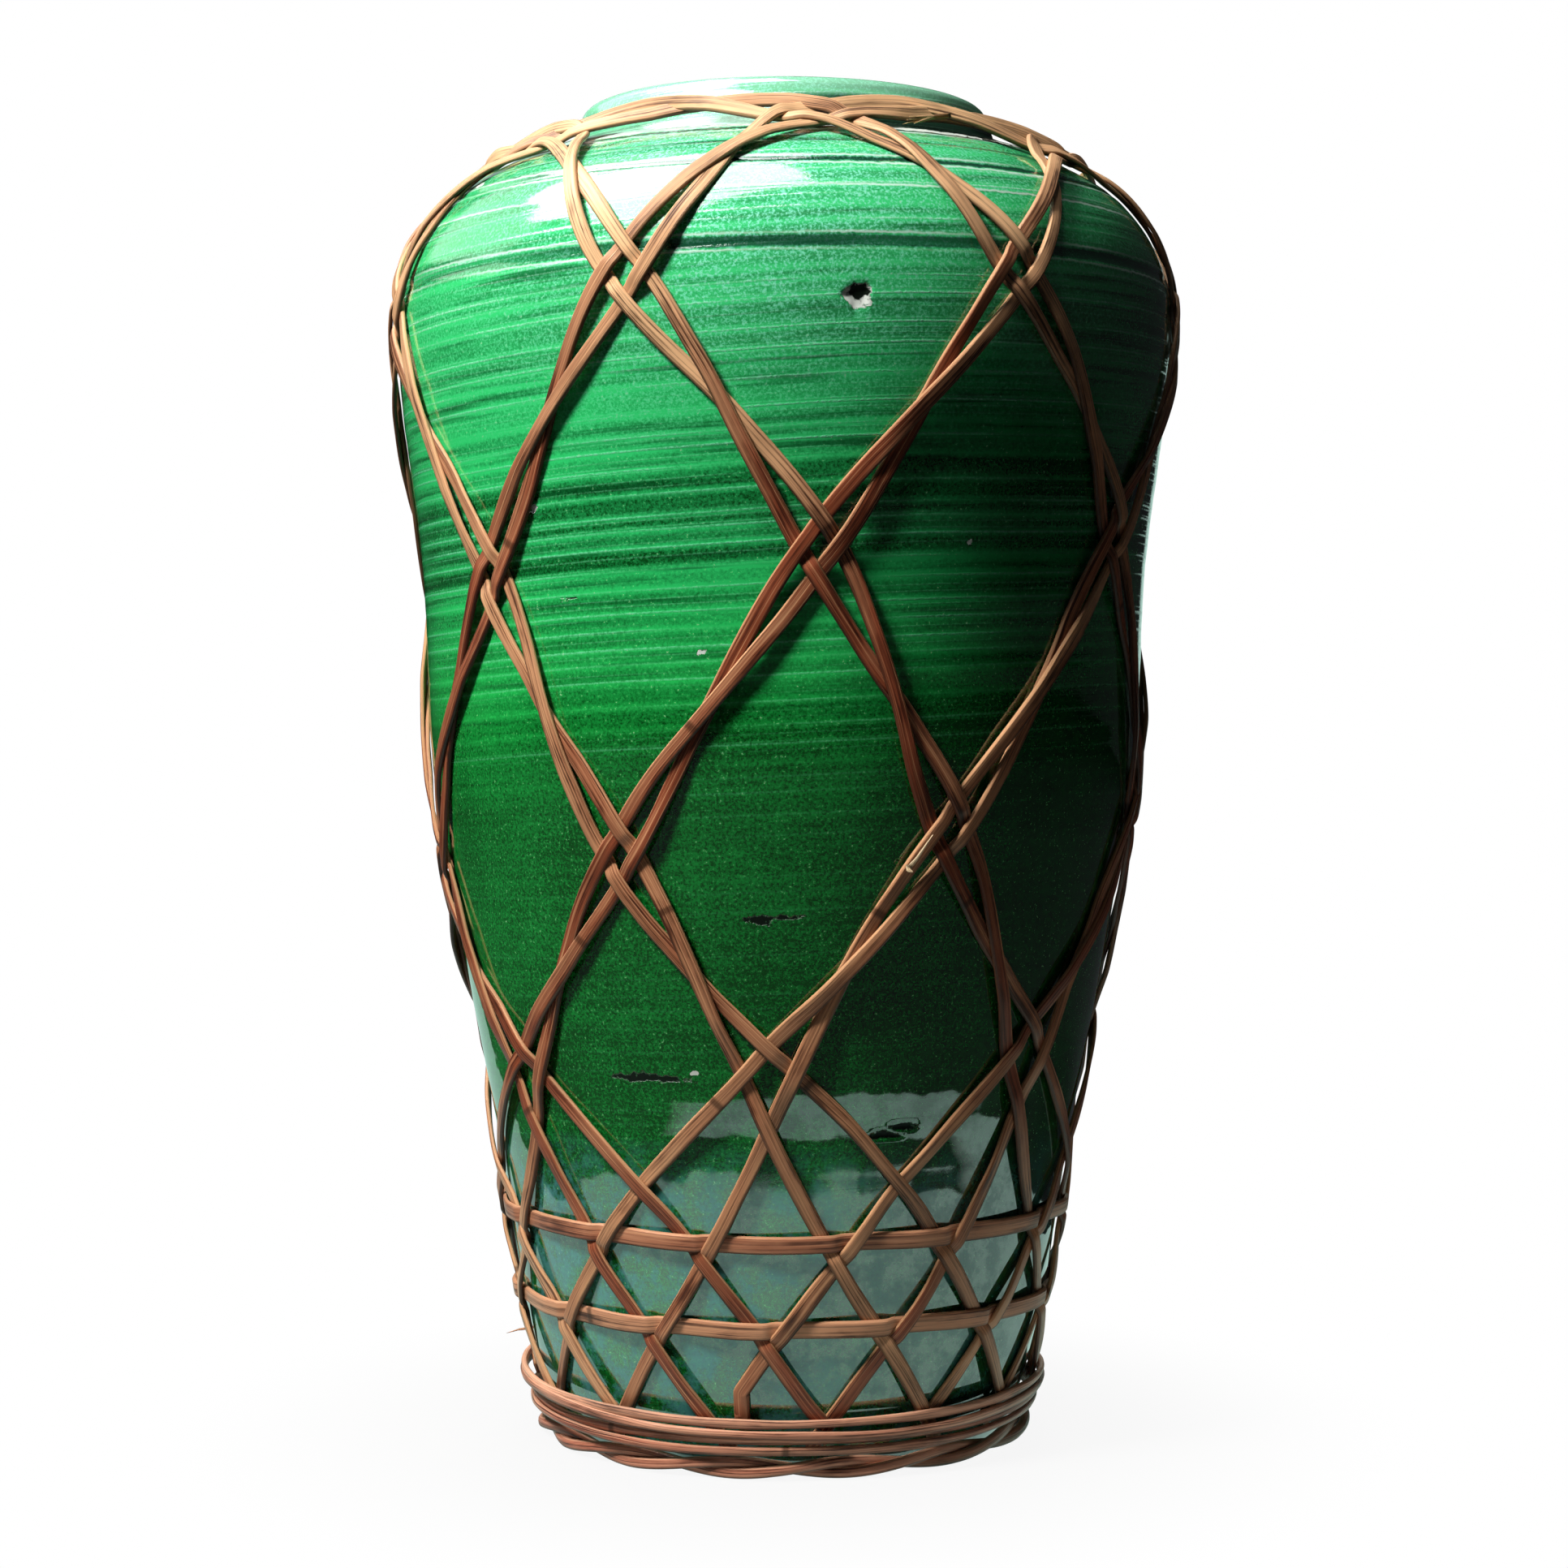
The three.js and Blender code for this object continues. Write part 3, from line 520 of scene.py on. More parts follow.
    # Painted shade round the foot of the collar, under the collar strips, mostly on the right
    painted_collar_shade = add("MapRange", (side_at, -0.01, 0.014, 0.2, 0.97))
    for low, high in ((0.2853, 0.2858), (0.2968, 0.2954)):
        within = add("MapRange", (height, low, high))
        painted_collar_shade = add("Math MULTIPLY", (painted_collar_shade, within))
    # Bare clay: worn edges, chips, the foot ring; a field from the mesh, made ragged by the same noise
    bare = add("Attribute", attribute_name="bare").outputs["Fac"]
    bare = add("Math MULTIPLY_ADD", (ragged, 1.6, bare))
    bare = add("MapRange", (bare, 0.8, 0.88))
    clay = add("Mix RGBA", (mottle, linear("#8f9c90"), linear("#eceee4")))
    # Dark scars; the first one is painted shadow in the upper part of the big chip
    scar_and_chip_shadow = add("Attribute", attribute_name="scar_and_chip_shadow").outputs["Fac"]
    scar_and_chip_shadow = add("Math MULTIPLY_ADD", (ragged, 2.4, scar_and_chip_shadow))
    scar_and_chip_shadow = add("MapRange", (scar_and_chip_shadow, 1.2, 1.45))
    # The coats of colour, one over the other
    for share, tint in (
        (top, linear("#90ead0")), (painted_table_reflection, linear("#5c9ca6")), (deep, linear("#06441d")), (pale, white),
        (painted_right_shade, linear("#032a0c")), (thin, linear("#a9e4c4")), (painted_glints, linear("#9fcf9c")),
        (full, linear("#0a2f24")), (worn, linear("#d8efe2")), (painted_collar_shade, linear("#08160f")), (bare, clay),
        (scar_and_chip_shadow, linear("#0c140d")),
    ):
        colour = add("Mix RGBA", (share, colour, tint))
    broken = add("Math MAXIMUM", (bare, scar_and_chip_shadow))
    rough = add("MapRange", (clouds, 0.3, 0.7, 0.02, 0.05))
    rough = add("Mix", (broken, rough, 0.75))
    relief = add("Math MULTIPLY_ADD", (brush, 0.25, pale))
    relief = add("Math MULTIPLY", (relief, upper))
    bump = add("Bump", {"Height": relief, "Distance": 0.0003, "Strength": 0.3})
    peel = add("Math MULTIPLY", (specks, upper))
    bump = add("Bump", {"Height": peel, "Distance": 0.0002, "Strength": 0.08, "Normal": bump})
    bump = add("Bump", {"Height": broken, "Distance": 0.0011, "Strength": 0.8, "Normal": bump}, invert=True)
    gloss = add("Math MULTIPLY_ADD", (damp, 0.3, 0.6))
    gloss = add("Math MULTIPLY_ADD", (film, -0.4, gloss))
    gloss = add("Mix", (broken, gloss, 0.1))
    shader = add("BsdfPrincipled", {
        "Base Color": colour, "Roughness": rough, "Normal": bump, "IOR": 1.9, "Specular IOR Level": gloss,
    })
    add("OutputMaterial", {"Surface": shader})
    return material


glaze = glazed_stoneware()
print("made", glaze.name)

# %% [markdown]
# ## The vase body
#
# The body is turned on a wheel, so it is a profile carried round the axis. The profile runs from the middle of
# the underside over the foot ring, up the wall, over the lip and down inside to the floor. Four grooves on the
# shoulder and the finger rings of the wheel are small changes of radius, added as a formula of height and
# angle. Rows and columns stand closer where a chip or a groove needs them.

# %% Body outline
LIP = np.radians(np.linspace(0, 180, 19))
outline = [
    [(0.4, 3.0), (40.6, 3.0), (41.6, 2.5), (42.6, 0.6), (43.4, 0.0), (49.2, 0.0), (50.2, 0.5)],
    wall_line,
    [(61.2, 286.85), (60.2, 286.95), (58.0, 287.75), (50.2, 291.0), (48.8, 291.8), (48.05, 292.8), (47.3, 295.0)],
    np.stack([43.4 + 2.9 * np.cos(LIP), 297.2 + 2.8 * np.sin(LIP)], -1),
    [(40.6, 290.0), (40.8, 284.4), (42.2, 282.0), (46.6, 280.4), (60.0, 278.4)],
    [(r - 6, z) for r, z in wall_line[::-1] if 17.5 < z < 274.5],
    [(47.8, 15.2), (46.6, 13.0), (44.4, 11.0), (41.8, 10.0), (0.4, 10.0)],
]
outline = np.vstack(outline)
# Grooves: height, depth and width in mm. Chips and scars: degrees round, height, half length, half height
GROOVES = [(258.4, 0.3, 1.7), (276.4, 0.45, 0.9), (281.5, 0.2, 0.7), (285.3, 0.3, 0.6)]
CHIPS = [(9.7, 247.4, 3.0, 2.7), (-24.9, 226.3, 1.1, 0.6), (-15.6, 88.4, 0.9, 0.6), (-38.5, 206.0, 1.0, 0.5),
         (27.5, 199.0, 1.0, 0.4), (-60.0, 277.2, 5.0, 0.6), (-30.0, 274.5, 1.4, 1.0), (-12.0, 176.0, 0.8, 0.4),
         (14.0, 168.0, 0.7, 0.4), (-20.0, 150.0, 0.7, 0.5)]
# The first scar is painted shadow in the upper part of the first chip; the others are dark marks
SCARS = [(10.0, 248.2, 2.4, 2.0), (-3.9, 121.0, 2.9, 1.0), (0.0, 121.6, 4.2, 0.55), (-24.0, 87.0, 9.0, 0.9),
         (18.4, 75.0, 3.6, 0.9), (22.0, 76.7, 3.4, 0.8), (-39.4, 205.6, 1.4, 0.7), (-33.0, 187.0, 2.2, 0.6)]

along_outline = lengths(outline)
outer = (np.arange(len(outline)) > 6) & (np.arange(len(outline)) < 7 + len(wall_line))
busy = np.zeros(len(outline))
for z in [g[0] for g in GROOVES] + [m[1] for m in CHIPS[:1] + SCARS[:6]]:
    busy = np.maximum(busy, np.exp(-((outline[:, 1] - z) / 2.6) ** 2) * outer)
at_edge = (outline[:, 1] > 284) | (outline[:, 1] < 3.5)
row_step = np.where(outer, 1.9 - 1.35 * busy, np.where(at_edge, 0.9, 4.0))
row_step = np.where((outline[:, 1] < 20) & (outline[:, 0] < 41.7), 6.0, row_step)
count = np.concatenate([[0], np.cumsum(np.diff(along_outline) / row_step[1:])])
rows = np.interp(np.linspace(0, count[-1], int(count[-1]) + 1), count, along_outline)
body_r, body_z = (np.interp(rows, along_outline, outline[:, c]) for c in (0, 1))
wall_ends = along_outline[[7, 6 + len(wall_line)]]
on_wall = np.clip(np.minimum(rows - wall_ends[0], wall_ends[1] - rows) / 4, 0, 1)[:, None]
front = np.radians(np.concatenate([np.arange(-52, 6, 0.9), np.arange(6, 13.2, 0.3), np.arange(13.2, 52, 0.9)]))
back = np.linspace(front[-1], front[0] + TURN, 126)[1:-1]
columns = np.concatenate([front, back])
print("body grid", len(rows), "x", len(columns))

# %% Body surface
angle, z = columns[None, :], body_z[:, None]
rings = 0.012 * np.cos(TURN * z / 4.9 + angle) + 0.02 * np.cos(TURN * z / 7.7 - angle + 1.0)
rings = rings + 0.03 * np.cos(TURN * z / 13.3 + 2 * angle + 2.1) + 0.06 * np.cos(TURN * z / 41 - 2 * angle)
rings = rings * (0.35 + 0.65 * np.clip((z - 120) / 60, 0, 1))
tilt = z - 1.5 * np.sin(angle)
groove = sum(depth * np.exp(-((tilt - at) / (0.5 * width)) ** 2) for at, depth, width in GROOVES)


def marks(spots):
    """Field that is 1 in the middle of each spot, 0 at its lobed edge and below 0 beyond it."""
    best = np.full((len(rows), len(columns)), -3.0)
    for degrees, at, half_length, half_height in spots:
        turn = (angle - np.radians(degrees) + np.pi) % TURN - np.pi
        flat, tall = turn * body_r[:, None] / half_length, (z - at) / half_height
        way = np.arctan2(tall, flat)
        lobes = 1 + 0.16 * np.sin(3 * way + at) + 0.1 * np.sin(5 * way - 2 * at)
        best = np.maximum(best, 1 - np.hypot(flat, tall) * lobes)
    return np.where(on_wall > 0.02, best, -3.0)


uneven = 1.0 + 0.35 * np.sin(angle * 3 + 0.6)
edge_wear = np.exp(-((rows - wall_ends[1] + 0.5) / 1.1) ** 2)[:, None] * uneven - 0.75
foot_ring = np.where((body_z < 3.2) & (rows < wall_ends[0]), 1.3, -3.0)[:, None]
fields = {
    "bare": np.maximum(np.maximum(marks(CHIPS), foot_ring), edge_wear),
    "scar_and_chip_shadow": marks(SCARS),
}
dent = 0.8 * np.clip(2.2 * marks(CHIPS[:1]), 0, 1) + 0.5 * np.clip(2 * marks(SCARS[4:6]), 0, 1)
radius = body_r[:, None] + on_wall * (rings - groove - dent)
points = np.stack([radius * np.sin(angle), -radius * np.cos(angle), z + 0 * angle], -1)
body = skin("vase", points, rows * MM, glaze, "vase_body", fields)
print("vase faces", len(body.data.polygons))

# %% [markdown]
# ## Finish: split bamboo
#
# The strips are split from a culm and shaved flat. The fibres run along the strip as fine darker lines, and a
# node of the culm crosses it now and then as a thin dark line. Painted light and shade follow how light falls:
# the upper edges are painted pale and the lower edges dark, the upper stretches lighter and the lower ones
# darker, and the lowest stretch lighter again. The UV map of each piece holds its length in metres and the place
# round its section, so the fibres follow every bend. A field on the mesh tells the upper edge from the lower.

# %% Bamboo materials


def split_bamboo(name, pale, ripe, brown, painted_height_shade, shade_from):
    """Straight-grained bamboo: fibres along the length, node lines, painted light and shade on edges and by height.
    """
    material, add = start_material(name)
    uv = add("UVMap", uv_map="UVMap")
    parts = add("SeparateXYZ", (uv,))
    place_at = add("TexCoord").outputs["Object"]
    height = add("SeparateXYZ", (place_at,)).outputs["Z"]
    # Fibres 0.45 mm wide and 70 mm long, with finer ones inside them
    fibre = add("Mapping", {"Vector": uv, "Scale": (14, 19, 1)})
    fibre = add("TexNoise", (fibre, 1.0, 3.0, 0.75))
    # Stains 25 mm long
    stain = add("Mapping", {"Vector": uv, "Scale": (40, 2, 1)})
    stain = add("TexNoise", (stain, 1.0, 4.0, 0.6))
    # Whole stretches of 120 mm differ in ripeness
    ripeness = add("Mapping", {"Vector": uv, "Scale": (8, 0.6, 1)})
    ripeness = add("TexNoise", (ripeness, 1.0, 1.0))
    # Painted light from above: the tone runs from lighter at the top to darker low down
    tone = add("MapRange", (height, 0.29, 0.16, -0.2, painted_height_shade))
    tone = add("Math MULTIPLY_ADD", (stain, 0.8, tone))
    tone = add("Math MULTIPLY_ADD", (ripeness, 2.2, tone))
    # Painted light on the lowest stretch, below 100 mm: a lighter tone
    painted_foot_light = add("MapRange", (height, 0.1, 0.06, 0.0, -0.15))
    tone = add("Math ADD", (tone, painted_foot_light))
    tone = add("MapRange", (tone, 1.1, 2.0))
    # Painted light on the upper strips: a cream tint that rises from 170 to 270 mm
    high = add("MapRange", (height, 0.17, 0.27))
    light = add("Mix RGBA", (high, linear(pale), linear("#e6b686")))
    colour = add("Mix RGBA", (tone, light, linear(ripe)))
    streak = add("MapRange", (fibre, 0.49, 0.6, 0.0, 0.9))
    patchy = add("MapRange", (stain, 0.4, 0.56, 0.3, 1.0))
    streak = add("Math MULTIPLY", (streak, patchy))
    blot = add("MapRange", (stain, 0.54, 0.68, 0.0, 0.75))
    dry = add("MapRange", (fibre, 0.45, 0.36, 0.0, 0.55))
    # Painted highlight on the upper edge and painted shade on the lower edge; a field from the mesh
    rise = add("Attribute", attribute_name="rise").outputs["Fac"]
    painted_edge_light = add("MapRange", (rise, 0.76, 0.86, 0.0, 0.5))
    kept = add("MapRange", (rise, shade_from, -0.94, 0.0, 0.85))
    # Nodes of the culm every 320 mm, 1.2 mm long
    joint = add("Math PINGPONG", (parts.outputs["X"], 0.16))
    joint = add("MapRange", (joint, 0.0011, 0.0004, 0.0, 0.7))
    # The coats of colour, one over the other
    for share, tint in (
        (streak, linear(brown)), (blot, linear(brown)), (dry, light), (painted_edge_light, light), (kept, linear(brown)),
        (joint, linear("#3a2013")),
    ):
        colour = add("Mix RGBA", (share, colour, tint))
    relief = add("Math MULTIPLY_ADD", (joint, 0.5, fibre))
    bump = add("Bump", {"Height": relief, "Distance": 0.0004, "Strength": 0.4})
    rough = add("MapRange", (fibre, 0.3, 0.7, 0.32, 0.52))
    shader = add("BsdfPrincipled", {"Base Color": colour, "Roughness": rough, "Normal": bump, "IOR": 1.36})
    add("OutputMaterial", {"Surface": shader})
    return material


strip_bamboo = split_bamboo("split_bamboo_strip", "#e4b080", "#8f4a30", "#2a110c", 0.45, -0.55)
band_bamboo = split_bamboo("split_bamboo_band", "#e0a67c", "#9c563c", "#33150f", 0.4, -0.55)
strand_bamboo = split_bamboo("split_bamboo_strand", "#f4ba96", "#a85c44", "#220d09", 0.34, -0.3)
torn_bamboo = split_bamboo("split_bamboo_torn", "#f4e2bc", "#dcb57c", "#a3713f", 0.2, -0.84)
print("made four bamboo finishes")

# %% [markdown]
# ## The strips
#
# A strip is a flat section carried along its path. A knife has shaved the section's two outer corners. It could
# be a curve with a bevel, but then its roll could not follow the wall. Here the wall's own normal sets the flat
# side, and a seeded wander changes width, roll and place by a few tenths of a millimetre.

# %% Lacing strips


# Section of a split strip: half widths and thicknesses from the middle of the back, round two shaved corners
SPLIT = np.array([
    (0, 0), (0.5, 0), (0.92, 0), (1, 0.12), (1, 0.52), (0.97, 0.62), (0.83, 0.92), (0.78, 0.98), (0.72, 1),
    (0.36, 1.03), (0, 1.04), (-0.36, 1.03), (-0.72, 1), (-0.78, 0.98), (-0.83, 0.92), (-0.97, 0.62), (-1, 0.52),
    (-1, 0.12), (-0.92, 0), (-0.5, 0),
])


def oval(corners, power):
    """Section of a rounder strand: cosine and sine of the turn, both raised to 2 / power."""
    turn = TURN * np.arange(corners) / corners - np.pi / 2
    side = np.sign(np.cos(turn)) * np.abs(np.cos(turn)) ** (2 / power)
    rise = np.sign(np.sin(turn)) * np.abs(np.sin(turn)) ** (2 / power)
    return np.stack([side, (rise + 1) / 2], -1)


def ribbon(middle, normal, width, thickness, section):
    """Section carried along a line: its first number goes across by half widths, its second out by thicknesses."""
    along = np.gradient(middle, axis=0)
    across = np.cross(normal, along)
    across /= np.linalg.norm(across, axis=1)[:, None]
    flat = across[:, None] * (section[:, 0] * width[:, None] / 2)[..., None]
    return middle[:, None] + flat + normal[:, None] * (section[:, 1] * thickness)[..., None]


def upper_side(grid):
    """Field from -1 at the lowest corner of each section to 1 at its highest: height above its middle, scaled."""
    tall = grid[..., 2] - grid[..., 2].mean(axis=1, keepdims=True)
    return {"rise": tall / np.abs(tall).max(axis=1, keepdims=True)}


def rolled(middle, normal, roll):
    """Normal turned about the line by a small roll angle."""
    along = np.gradient(middle, axis=0)
    along /= np.linalg.norm(along, axis=1)[:, None]
    across = np.cross(normal, along)
    turned = normal * np.cos(roll)[:, None] + across * np.sin(roll)[:, None]
    return turned / np.linalg.norm(turned, axis=1)[:, None]


# Beside the collar: where a strip starts to stand on edge, its roll and lift; where it starts to sag, how far
EDGE_FROM, EDGE_ROLL, EDGE_LIFT = 26, np.radians(40), 0.6
SAG_FROM, SAG_ALL, SAG_SIDES = 66, 5.5, 13.5
KINKED_END, KINK_AT = (4, "b"), 11.5

for pair in range(PAIRS):
    for name, path in paths.items():
        seed = 10 * pair + (1 if name == "a" else 2)
        at = np.linspace(0, path["length"][-1], 960)
        azimuth = np.interp(at, path["length"], path["azimuth"]) + FIRST_APEX + pair * PAIR_STEP
        s = np.interp(at, path["length"], path["s"]) + 0.3 * wander(at, seed, 90)
        azimuth = azimuth + 0.3 * wander(at, seed + 500, 110) / guide_at(s)[0]
        # Beside the collar a strip stands on edge against it and sags a little
        upright = np.clip((EDGE_FROM - s) / 20, 0, 1) ** 2
        s = s + np.clip((SAG_FROM - s) / 60, 0, 1) ** 2 * (SAG_ALL + SAG_SIDES * np.sin(azimuth) ** 4)
        if (pair, name) == KINKED_END:
            # This end was kinked straight down before it was bound
            azimuth = np.maximum(azimuth, np.interp(KINK_AT, at, azimuth))
        middle, normal = place(azimuth, s, lift_along(events[name], at))
        middle = middle + normal * (EDGE_LIFT * upright)[:, None]
        normal = rolled(middle, normal, np.radians(11) * wander(at, seed + 100, 70) - EDGE_ROLL * upright)
        width = STRIP_WIDTH * (1 + 0.13 * wander(at, seed + 200, 130))
        points = ribbon(middle, normal, width, STRIP_THICKNESS, SPLIT)
        label = "%d%s" % (pair + 1, name)
        length = (at + 37.0 * seed) * MM
        skin("strip_" + label, points, length, strip_bamboo, "lacing_strip_" + label, upper_side(points))
print("strips: 14, rows on each:", len(at))

# %% [markdown]
# ## Splinters
#
# Hand-split bamboo frays. A torn sliver stands off one strip, a frayed tip shows under the collar and a stray fibre
# sticks out above the foot. Each one is the same ribbon, made thin and drawn to a point.

# %% Splinters


def sliver(name, stations, width, material):
    """Splinter through stations of azimuth, radius and height: a thin ribbon whose width falls towards a point."""
    k = np.linspace(0, 1, 31)
    azimuth, r, z = (np.interp(k, np.linspace(0, 1, len(stations)), c) for c in np.array(stations, float).T)
    azimuth = np.radians(azimuth)
    middle = np.stack([r * np.sin(azimuth), -r * np.cos(azimuth), z], -1)
    out = np.stack([np.sin(azimuth), -np.cos(azimuth), 0 * azimuth], -1)
    grid = ribbon(middle, out, width * (1.08 - k**2), 0.3, oval(10, 3.0))
    return skin(name, grid, lengths(middle) * MM, material, None, upper_side(grid))


sliver("splinter_torn", [(18.6, 80.2, 131.8), (19.6, 80.9, 133.6), (22.0, 81.4, 138.6)], 0.9, torn_bamboo)
sliver("splinter_root", [(18.6, 80.0, 132.3), (18.3, 81.0, 131.4), (18.9, 81.3, 131.0)], 1.2, torn_bamboo)
for n, (turn, drop) in enumerate([(22.0, 286.4), (22.7, 287.3), (23.3, 288.0), (24.2, 286.7)]):
    stations = [(33.5, 63.6, 289.8), (28.5, 65.4, 288.6), (turn, 66.2, drop)]
    sliver("splinter_frayed_%d" % (n + 1), stations, 1.1, torn_bamboo)
sliver("splinter_stray", [(-87.0, 58.2, 22.0), (-88.2, 61.0, 21.4), (-89.0, 63.8, 20.4)], 0.6, strip_bamboo)
print("splinters: 7")

# %% [markdown]
# ## The two bands
#
# Below the lattice two wider bands go once round the vase. They pass over the strips that fall to the right
# and under those that fall to the left, and their ends butt together under a strip at the back. The same
# ribbon makes them; only the path is a level ring.

# %% Bands


def band_round(name, node, band, seed):
    """Level ring: one turn at a set distance down the guide, its height off the wall held at each crossing."""
    s, found = band
    r = guide_at(s)[0]
    joint = min((e for e in found if e[1] == 0), key=lambda e: abs((e[0] + FIRST_APEX) % TURN - np.pi))
    start = joint[0] + FIRST_APEX
    met = [(((e[0] + FIRST_APEX - start) % TURN) * r, e[1], e[2]) for e in found]
    met.append((TURN * r, 0, joint[2]))
    at = np.linspace(0.35, TURN * r - 0.35, 620)
    down = s + 0.35 * wander(at, seed, 140)
    middle, normal = place(start + at / r, down, lift_along(met, at))
    normal = rolled(middle, normal, np.radians(2.5) * wander(at, seed + 1, 80))
    width = BAND_WIDTH * (1 + 0.05 * wander(at, seed + 2, 120))
    grid = ribbon(middle, normal, width, STRIP_THICKNESS, SPLIT)
    return skin(name, grid, (at + 29 * seed) * MM, band_bamboo, node, upper_side(grid))


band_round("band_upper", "upper_band", upper_band, 901)
band_round("band_lower", "lower_band", lower_band, 911)
print("bands: 2")

# %% [markdown]
# ## Winding and border at the foot
#
# One long strand is wound nearly four times round the strip ends, by hand, so its turns are not quite even. Under
# it two strands are twisted round each other as a border. Both are lines round the axis with an oval
# section. The winding stays one unbroken line.

# %% Foot strands
BORDER_ROUND, BORDER_LIFT, BORDER_TWISTS = 1.16, 0.45, 7
WINDING_TURNS, WINDING_WIDTH, WINDING_THICKNESS = 3.85, 2.1, 1.45
border_z = BORDER_LIFT + BORDER_ROUND + 0.85
foot_edge = np.interp(-2 * border_z, -guide_line[:, 1], guide_line[:, 0])
border_r = foot_edge + 0.42 + BORDER_ROUND + 0.85


def strand(name, node, middle, out, width, thickness, seed):
    """Oval strand: a rounder superellipse carried along the line, its flat side turned outward."""
    at = lengths(middle)
    out = rolled(middle, out, np.radians(16) * wander(at, seed, 60))
    grid = ribbon(middle - out * thickness / 2, out, width, thickness, oval(14, 2.6))
    return skin(name, grid, (at + 31 * seed) * MM, strand_bamboo, node, upper_side(grid))


t = np.linspace(0.004, TURN - 0.004, 700)
for label, phase in (("a", 0), ("b", np.pi)):
    twist = BORDER_TWISTS * t + phase
    r = border_r + BORDER_ROUND * np.cos(twist)
    z = border_z + BORDER_ROUND * np.sin(twist)
    middle = np.stack([-r * np.sin(t), r * np.cos(t), z], -1)
    out = np.stack([-np.sin(t), np.cos(t), 0 * t], -1)
    strand("border_" + label, "foot_border_" + label, middle, out, np.full(len(t), 2.4), 2.1, 700 + len(label))

t = np.linspace(0, WINDING_TURNS * TURN, 1500)
pitch = 2.2 + 0.8 * np.clip(np.sin(t), 0, 1) ** 2 - 0.35 * ((1 - np.cos(t)) / 2) ** 2
z = 2 * border_z - BORDER_LIFT + 0.42 + 0.95 + pitch * t / TURN + 0.9 * wander(t * 55, 811, 230)
r, _, out_r, out_z = guide_at(np.interp(-z, -guide_line[:, 1], guide_s))
# Neighbouring turns lie one in front of the other by turns
stand_off = CLEARANCE + LEVEL_RISE + STRIP_THICKNESS + 0.42 + 1.4
r = r + stand_off * out_r + 0.55 * np.sin(t / 2) + 0.5 * wander(t * 55, 812, 210)
middle = np.stack([-r * np.sin(t), r * np.cos(t), z], -1)
out = np.stack([-out_r * np.sin(t), out_r * np.cos(t), out_z], -1)
width = WINDING_WIDTH * (1 + 0.2 * wander(t * 55, 813, 90))
strand("winding", "foot_winding", middle, out, width, WINDING_THICKNESS, 820)
print("strands at the foot: 3")

# %% [markdown]
# ## Floor, light and camera
#
# The vase stands on a white table. A soft light from the left, a weaker one above and one behind light it, and
# three more show only in the gloss of the glaze, as the bright patch on the shoulder. The table ends just in
# front of the vase and narrows behind it on the right. The glossy foot mirrors the table as a pale zone, and
# the dark room beyond its edge. The white behind comes from the sheet's own colour, not from more light.

# %% Floor and backdrop


def white_card(name, shade):
    """Matt white card, plain white to the eye; dim marks what the glaze sees as dark, share where shadow falls."""
    material, add = start_material(name)
    dim, share = shade(add)
    ray = add("LightPath").outputs
    lit = add("Math SUBTRACT", (1.0, dim))
    seen = add("Math ADD", (ray["Is Glossy Ray"], ray["Is Transmission Ray"]))
    seen = add("Math MULTIPLY", (seen, lit))
    seen = add("Math MULTIPLY_ADD", (ray["Is Camera Ray"], share, seen))
    colour = add("Mix RGBA", (dim, linear("#a2a29f"), linear("#2c2e30")))
    card = add("BsdfDiffuse", {"Color": colour})
    # The glaze mirrors the table under a cool sky
    sky = add("Mix RGBA", (ray["Is Glossy Ray"], linear("#ffffff"), linear("#c8eee2")))
    white = add("Emission", {"Color": sky, "Strength": 1.0})
    mixed = add("MixShader", (seen, card, white))
    add("OutputMaterial", {"Surface": mixed})
    return material


def sheet(name, points, material):
    """Open sheet on a grid of points in metres."""
    rows, cols = points.shape[:2]
    i, j = np.meshgrid(np.arange(rows - 1), np.arange(cols - 1), indexing="ij")
    quads = np.stack([i * cols + j, i * cols + j + 1, (i + 1) * cols + j + 1, (i + 1) * cols + j], -1)
    mesh = bpy.data.meshes.new(name)
    mesh.from_pydata(points.reshape(-1, 3), [], quads.reshape(-1, 4).tolist())
    mesh.materials.append(material)
    laid = bpy.data.objects.new(name, mesh)
    bpy.context.scene.collection.objects.link(laid)


def table_shade(add):
    """White table, round in front, wider behind on the left, with a dark runner; white grows with distance."""
    spot = add("TexCoord").outputs["Object"]
    at = add("SeparateXYZ", (spot,)).outputs
    back = add("Math MAXIMUM", (at["Y"], 0.0))
    spread = add("MapRange", (at["X"], -0.01, 0.01, 0.34, -0.3))
    half = add("Math MULTIPLY_ADD", (back, spread, 0.22))
    half = add("Math MAXIMUM", (half, 0.08))
    aside = add("Math DIVIDE", (at["X"], half))
    ahead = add("Math MINIMUM", (at["Y"], 0.0))
    ahead = add("Math DIVIDE", (ahead, 0.2))
    edge = add("VectorMath LENGTH", (add("CombineXYZ", (aside, ahead)),))
    crease = add("TexNoise", (spot, 22.0, 2.0))
    edge = add("Math MULTIPLY_ADD", (crease, 0.1, edge.outputs["Value"]))
    dim = add("MapRange", (edge, 1.136, 1.142))
    for start, end, x_from, x_to in ((0.965, 1.04, 0.2, 0.18), (0.975, 1.5, -0.11, -0.14)):
        inner = add("MapRange", (edge, start, start + 0.006))
        outer = add("MapRange", (edge, end + 0.006, end))
        runner = add("MapRange", (at["X"], x_from, x_to))
        runner = add("Math MULTIPLY", (inner, runner))
        runner = add("Math MULTIPLY", (outer, runner))
        dim = add("Math MAXIMUM", (dim, runner))
    away = add("VectorMath LENGTH", (spot,)).outputs["Value"]
    white = add("MapRange", (away, 0.05, 0.15, 0.91, 1.0), interpolation_type="SMOOTHSTEP")
    return dim, white


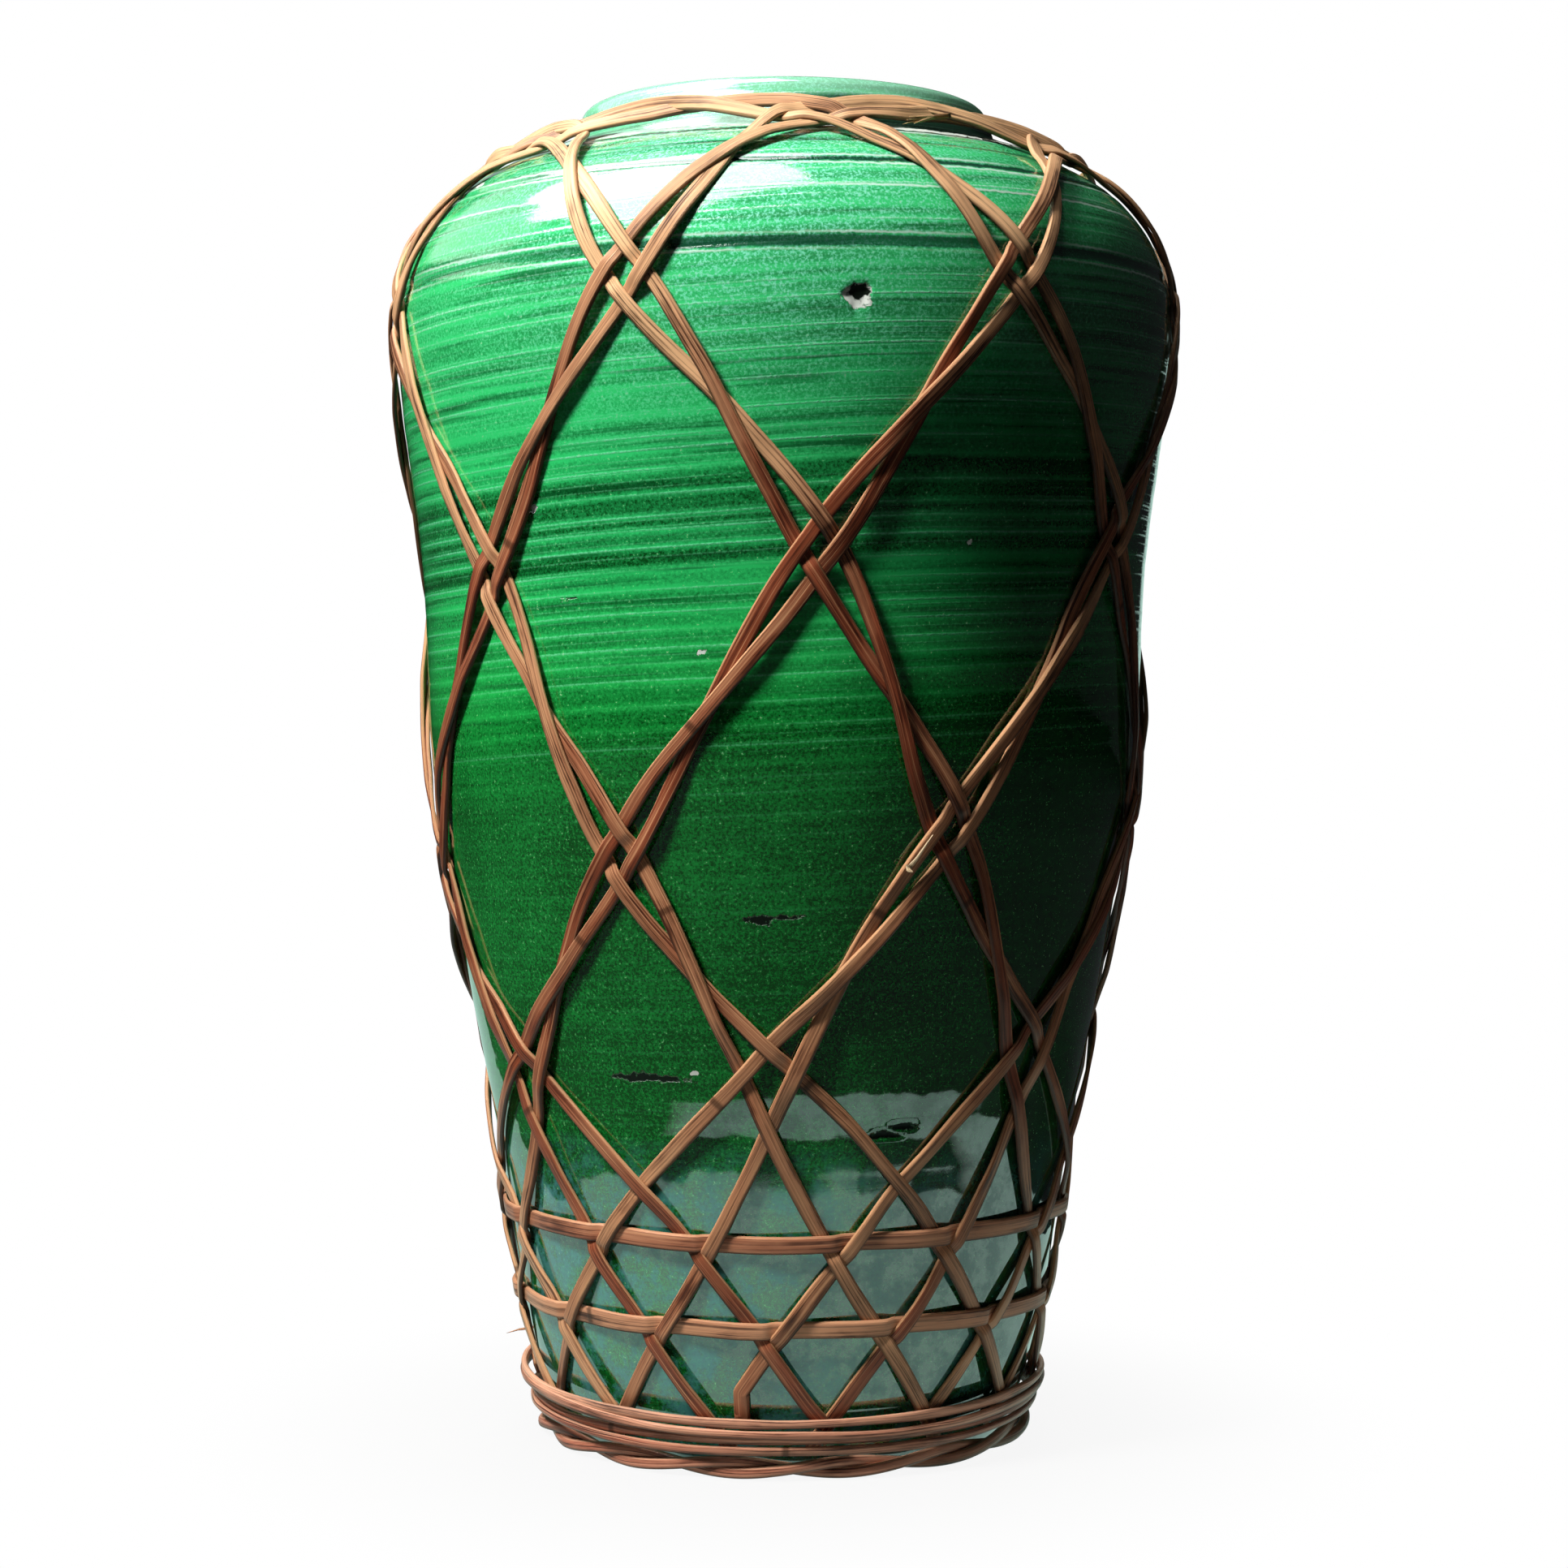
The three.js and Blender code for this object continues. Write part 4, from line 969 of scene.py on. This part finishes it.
def backdrop_shade(add):
    """Backdrop that is white all over; in the glaze its lower left and upper right are lost in the dark room."""
    at = add("SeparateXYZ", (add("TexCoord").outputs["Object"],)).outputs
    left = add("MapRange", (at["X"], 0.05, -0.05))
    low = add("MapRange", (at["Z"], 0.8, 0.4, 0.35, 1.0))
    high = add("MapRange", (at["Z"], 0.45, 0.7))
    return add("Mix", (left, high, low)), 1.0


x, y = np.meshgrid(np.linspace(-6, 6, 13), np.linspace(-6, 1.5, 13))
sheet("floor", np.stack([x, y, 0 * x], -1), white_card("white_table", table_shade))
x, turn = np.meshgrid(np.linspace(-0.8, 0.8, 3), np.linspace(0, 1, 24))
bend = np.clip(turn / 0.5, 0, 1) * np.pi / 2
rise = 0.5 * (1 - np.cos(bend)) + np.clip(turn - 0.5, 0, 1) * 4
sheet("backdrop", np.stack([x, 1.5 + 0.5 * np.sin(bend), rise], -1), white_card("white_backdrop", backdrop_shade))
print("stage: floor and backdrop")

# %% Lamps, world, camera


def softbox(name, place_at, aim, size, power):
    """Rectangular lamp that faces the point it is aimed at."""
    lamp = bpy.data.lights.new(name, "AREA")
    lamp.shape, lamp.size, lamp.size_y = "RECTANGLE", size[0], size[1]
    lamp.energy = power
    holder = bpy.data.objects.new(name, lamp)
    holder.location = place_at
    from_aim = holder.location.copy()
    from_aim.x, from_aim.y, from_aim.z = (p - a for p, a in zip(place_at, aim))
    holder.rotation_euler = from_aim.to_track_quat("Z", "Y").to_euler()
    bpy.context.scene.collection.objects.link(holder)
    return holder


# Name, place, height aimed at, size in metres, watts, and whether it shows in the gloss or lights the surface
LAMPS = [
    ("lamp_left", (-0.52, -0.45, 0.86), 0.16, (0.2, 0.2), 15, False),
    ("lamp_top", (-0.2, -0.25, 1.4), 0.27, (0.3, 0.3), 3.5, False),
    ("lamp_above_wide", (-0.42, -0.17, 1.2), 0.27, (0.86, 0.95), 15.5, True),
    ("lamp_above_core", (-0.6, 0.05, 1.2), 0.27, (0.46, 0.5), 8.5, True),
    ("lamp_ceiling", (-1.1, 0.5, 1.4), 0.27, (1.4, 1.6), 8, True),
    ("lamp_behind", (0.1, 1.2, 0.8), 0.15, (0.6, 0.6), 12, False),
]
for name, spot, aim, size, power, in_gloss in LAMPS:
    lamp = softbox(name, spot, (0, 0, aim), size, power)
    lamp.visible_glossy, lamp.visible_diffuse = in_gloss, not in_gloss

world = bpy.data.worlds.new("room")
world.use_nodes = True
world.node_tree.nodes.clear()
add = partial(add_node, world.node_tree)
ray = add("LightPath").outputs["Is Camera Ray"]
white = add("Background", {"Color": linear("#ffffff"), "Strength": 1.0})
dark = add("Background", {"Color": linear("#8c9196"), "Strength": 0.06})
add("OutputWorld", (add("MixShader", (ray, dark, white)),))
bpy.context.scene.world = world

camera = bpy.data.cameras.new("camera")
camera.lens, camera.sensor_width = 69.9, 36
viewer = bpy.data.objects.new("camera", camera)
viewer.location = (0, -0.7, 0.165)
viewer.rotation_euler = (np.radians(90 - 1.467), 0, 0)
bpy.context.scene.collection.objects.link(viewer)
bpy.context.scene.camera = viewer
bpy.context.scene.view_settings.view_transform = "Standard"
print("lamps:", len(LAMPS), "camera at", tuple(round(v, 3) for v in viewer.location))

# %% [markdown]
# ## Last update
#
# The view layer is brought up to date.

# %% Update the view layer
bpy.context.view_layer.update()
